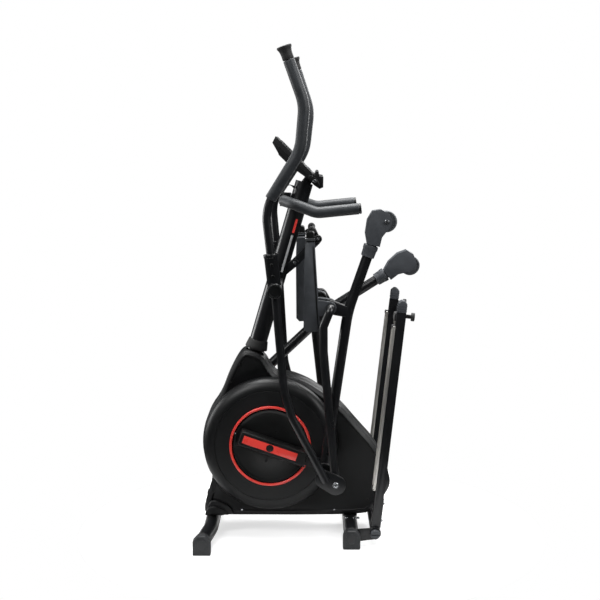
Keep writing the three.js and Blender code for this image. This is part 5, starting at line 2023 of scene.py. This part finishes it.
@dataclass
class Base(SubAssembly):
    """The two stabilizers with their caps, transport wheels and the strip between them."""

    tube: float = 50
    height: float = 36
    front: float = -340
    bow: float = 16
    front_half: float = 296
    rear: float = 136
    rear_half: float = 235
    cap: float = 34

    def build(self) -> None:
        """Makes the base."""
        end = self.front_half - self.cap - 3
        corners = [
            Vector((self.front - self.bow, -end, self.height)), Vector((self.front, -120, self.height)),
            Vector((self.front, 120, self.height)), Vector((self.front - self.bow, end, self.height)),
        ]
        tube = bent_tube("front_stabilizer_tube", corners, self.tube, 300, 48)
        self.put(soften(tube, 0), POWDER_COAT, "frame", "front_stabilizer")
        self.rear_tube()
        for side in Side:
            s, word = side.value, side.word
            for part, at, reach in (
                ("front", self.front - self.bow, self.front_half), ("rear", self.rear, self.rear_half),
            ):
                foot = from_frame(f"{part}_foot_{word}", f"{part}_foot_cap_{word}", 5, 4)
                # The caps and their faces take the darker copy of the grey nylon, which is painted shade.
                dress(foot, SHADED_FOOT_NYLON, "frame", f"{part}_foot_{word}")
                face = stopper(f"{part}_foot_face_{word}", 19, 3, 1.4, 1.2)
                spot = Vector((at, s * (reach - 0.6), self.height))
                self.put(aim(face, spot, across(s)), SHADED_FOOT_NYLON, "frame")
                ring = turned(
                    f"{part}_foot_ring_{word}",
                    [(25, 0), (27.4, 0), (28.4, 1), (28.4, 5), (27.4, 6), (25, 6)], 48,
                )
                inward = Vector((at, s * (reach - self.cap - 5.4), self.height))
                self.put(aim(soften(ring, 0), inward, across(s)), RUBBER, "frame")
            self.wheel(side)
        self.brackets()

    def rear_tube(self) -> None:
        """The rear stabilizer with the hinge plates and pin of the rails."""
        end = self.rear_half - self.cap
        centre = flat(self.rear, self.height)
        tube = bent_tube(
            "rear_stabilizer_tube", [centre + across(-end), centre + across(end)], self.tube, 1, 48,
        )
        self.put(soften(tube, 0), POWDER_COAT, "frame", "rear_stabilizer")
        for side in Side:
            s = side.value
            cheek = plate(
                f"hinge_plate_{side.word}", link_outline(centre, 22, LINKS.hinge, 20), s * 193, s * 198,
            )
            self.put(soften(cheek, 1.2, 3), POWDER_COAT, "frame")
        pin = bent_tube(
            "rail_hinge_pin", [LINKS.hinge + across(-200.5), LINKS.hinge + across(200.5)], 14, 1, 28,
        )
        self.put(soften(pin, 0.8, 2), ZINC_STEEL, "frame")

    def wheel(self, side: Side) -> None:
        """One transport wheel with a rounded tread and a hub.

        Args:
            side: The side of the machine.
        """
        middle = side.value * (self.front_half - self.cap / 2)
        at = flat(self.front - self.bow - 11, 22.5)
        half = ((5, 8), (9, 8), (10, 6.5), (14, 6.5), (15, 8), (17.5, 8), (19, 5))
        tyre = turned(f"transport_tyre_{side.word}", mirrored(half), 48)
        aim(soften(tyre, 0), across(middle))
        name = f"transport_wheel_{side.word}"
        self.put(tyre, RUBBER, name, name, place=Place(at))

    def brackets(self) -> None:
        """Saddles, bolts and the bright strip where the frame sits on the stabilizers."""
        for part, x in (("front", self.front + 16), ("rear", self.rear)):
            bolts = Screw(14, 6, 7).row(
                f"{part}_saddle_bolt_left", [Vector((x, y, 62)) for y in (-38, 38)], flat(0, 1)
            )
            saddle = block(f"{part}_saddle", (x - 24, -56, 59.5), (x + 24, 56, 62.5))
            low = turned("low", [(0, -300), (25.2, -300), (25.2, 300), (0, 300)], 48)
            aim(low, Vector((x if part == "rear" else self.front, 0, self.height)))
            self.put(soften(carve(saddle, low), 0.8, 2), POWDER_COAT, "frame")
            self.put(bolts, ZINC_STEEL, "frame")
        strip = block("rear_bright_strip", (118, -78, 55), (168, -66, 60))
        with editing(strip):
            bpy.ops.mesh.subdivide(number_cuts=2)
        self.put(soften(strip, 1.6, 3), ZINC_STEEL, "frame")


@dataclass
class Drive(SubAssembly):
    """The inner drive: its frame parts keep their shape and get their finishes here."""

    finishes: tuple[tuple[str, Finish], ...] = (
        (
            "main_frame", POWDER_COAT,
        ), ("swing_axle", ZINC_STEEL), ("crank_axle", ZINC_STEEL), ("drive_pulley", CAST_IRON),
        (
            "idler_pulley", CAST_IRON,
        ), ("flywheel", CAST_IRON), ("magnet_arm", ZINC_STEEL), ("drive_belt", RUBBER),
        ("crank_arm_left", POWDER_COAT), ("crank_arm_right", POWDER_COAT),
    )

    def build(self) -> None:
        """Gives every frame part that stays in view its own finish."""
        for node, finish in self.finishes:
            part = frame["nodes"][node]
            part.data.materials.clear()
            part.data.materials.append(finish.material())
            log.info("%s in %s", node, finish.name)


def main() -> None:
    """Builds the trainer in order."""
    logging.basicConfig(level=logging.INFO, format="%(name)s: %(message)s")
    Studio().build()
    PulseWire().build()
    Drive().build()
    Mast().build()
    for side in Side:
        Cover(side).build()
        CrankSet(side).build()
        SwingArm(side).build()
        PedalArm(side).build()
        ConnectingArm(side).build()
    FixedHandlebar().build()
    Console().build()
    StorageLatch().build()
    RailSet().build()
    Base().build()
    bpy.context.view_layer.update()


if __name__ == "__main__":
    main()
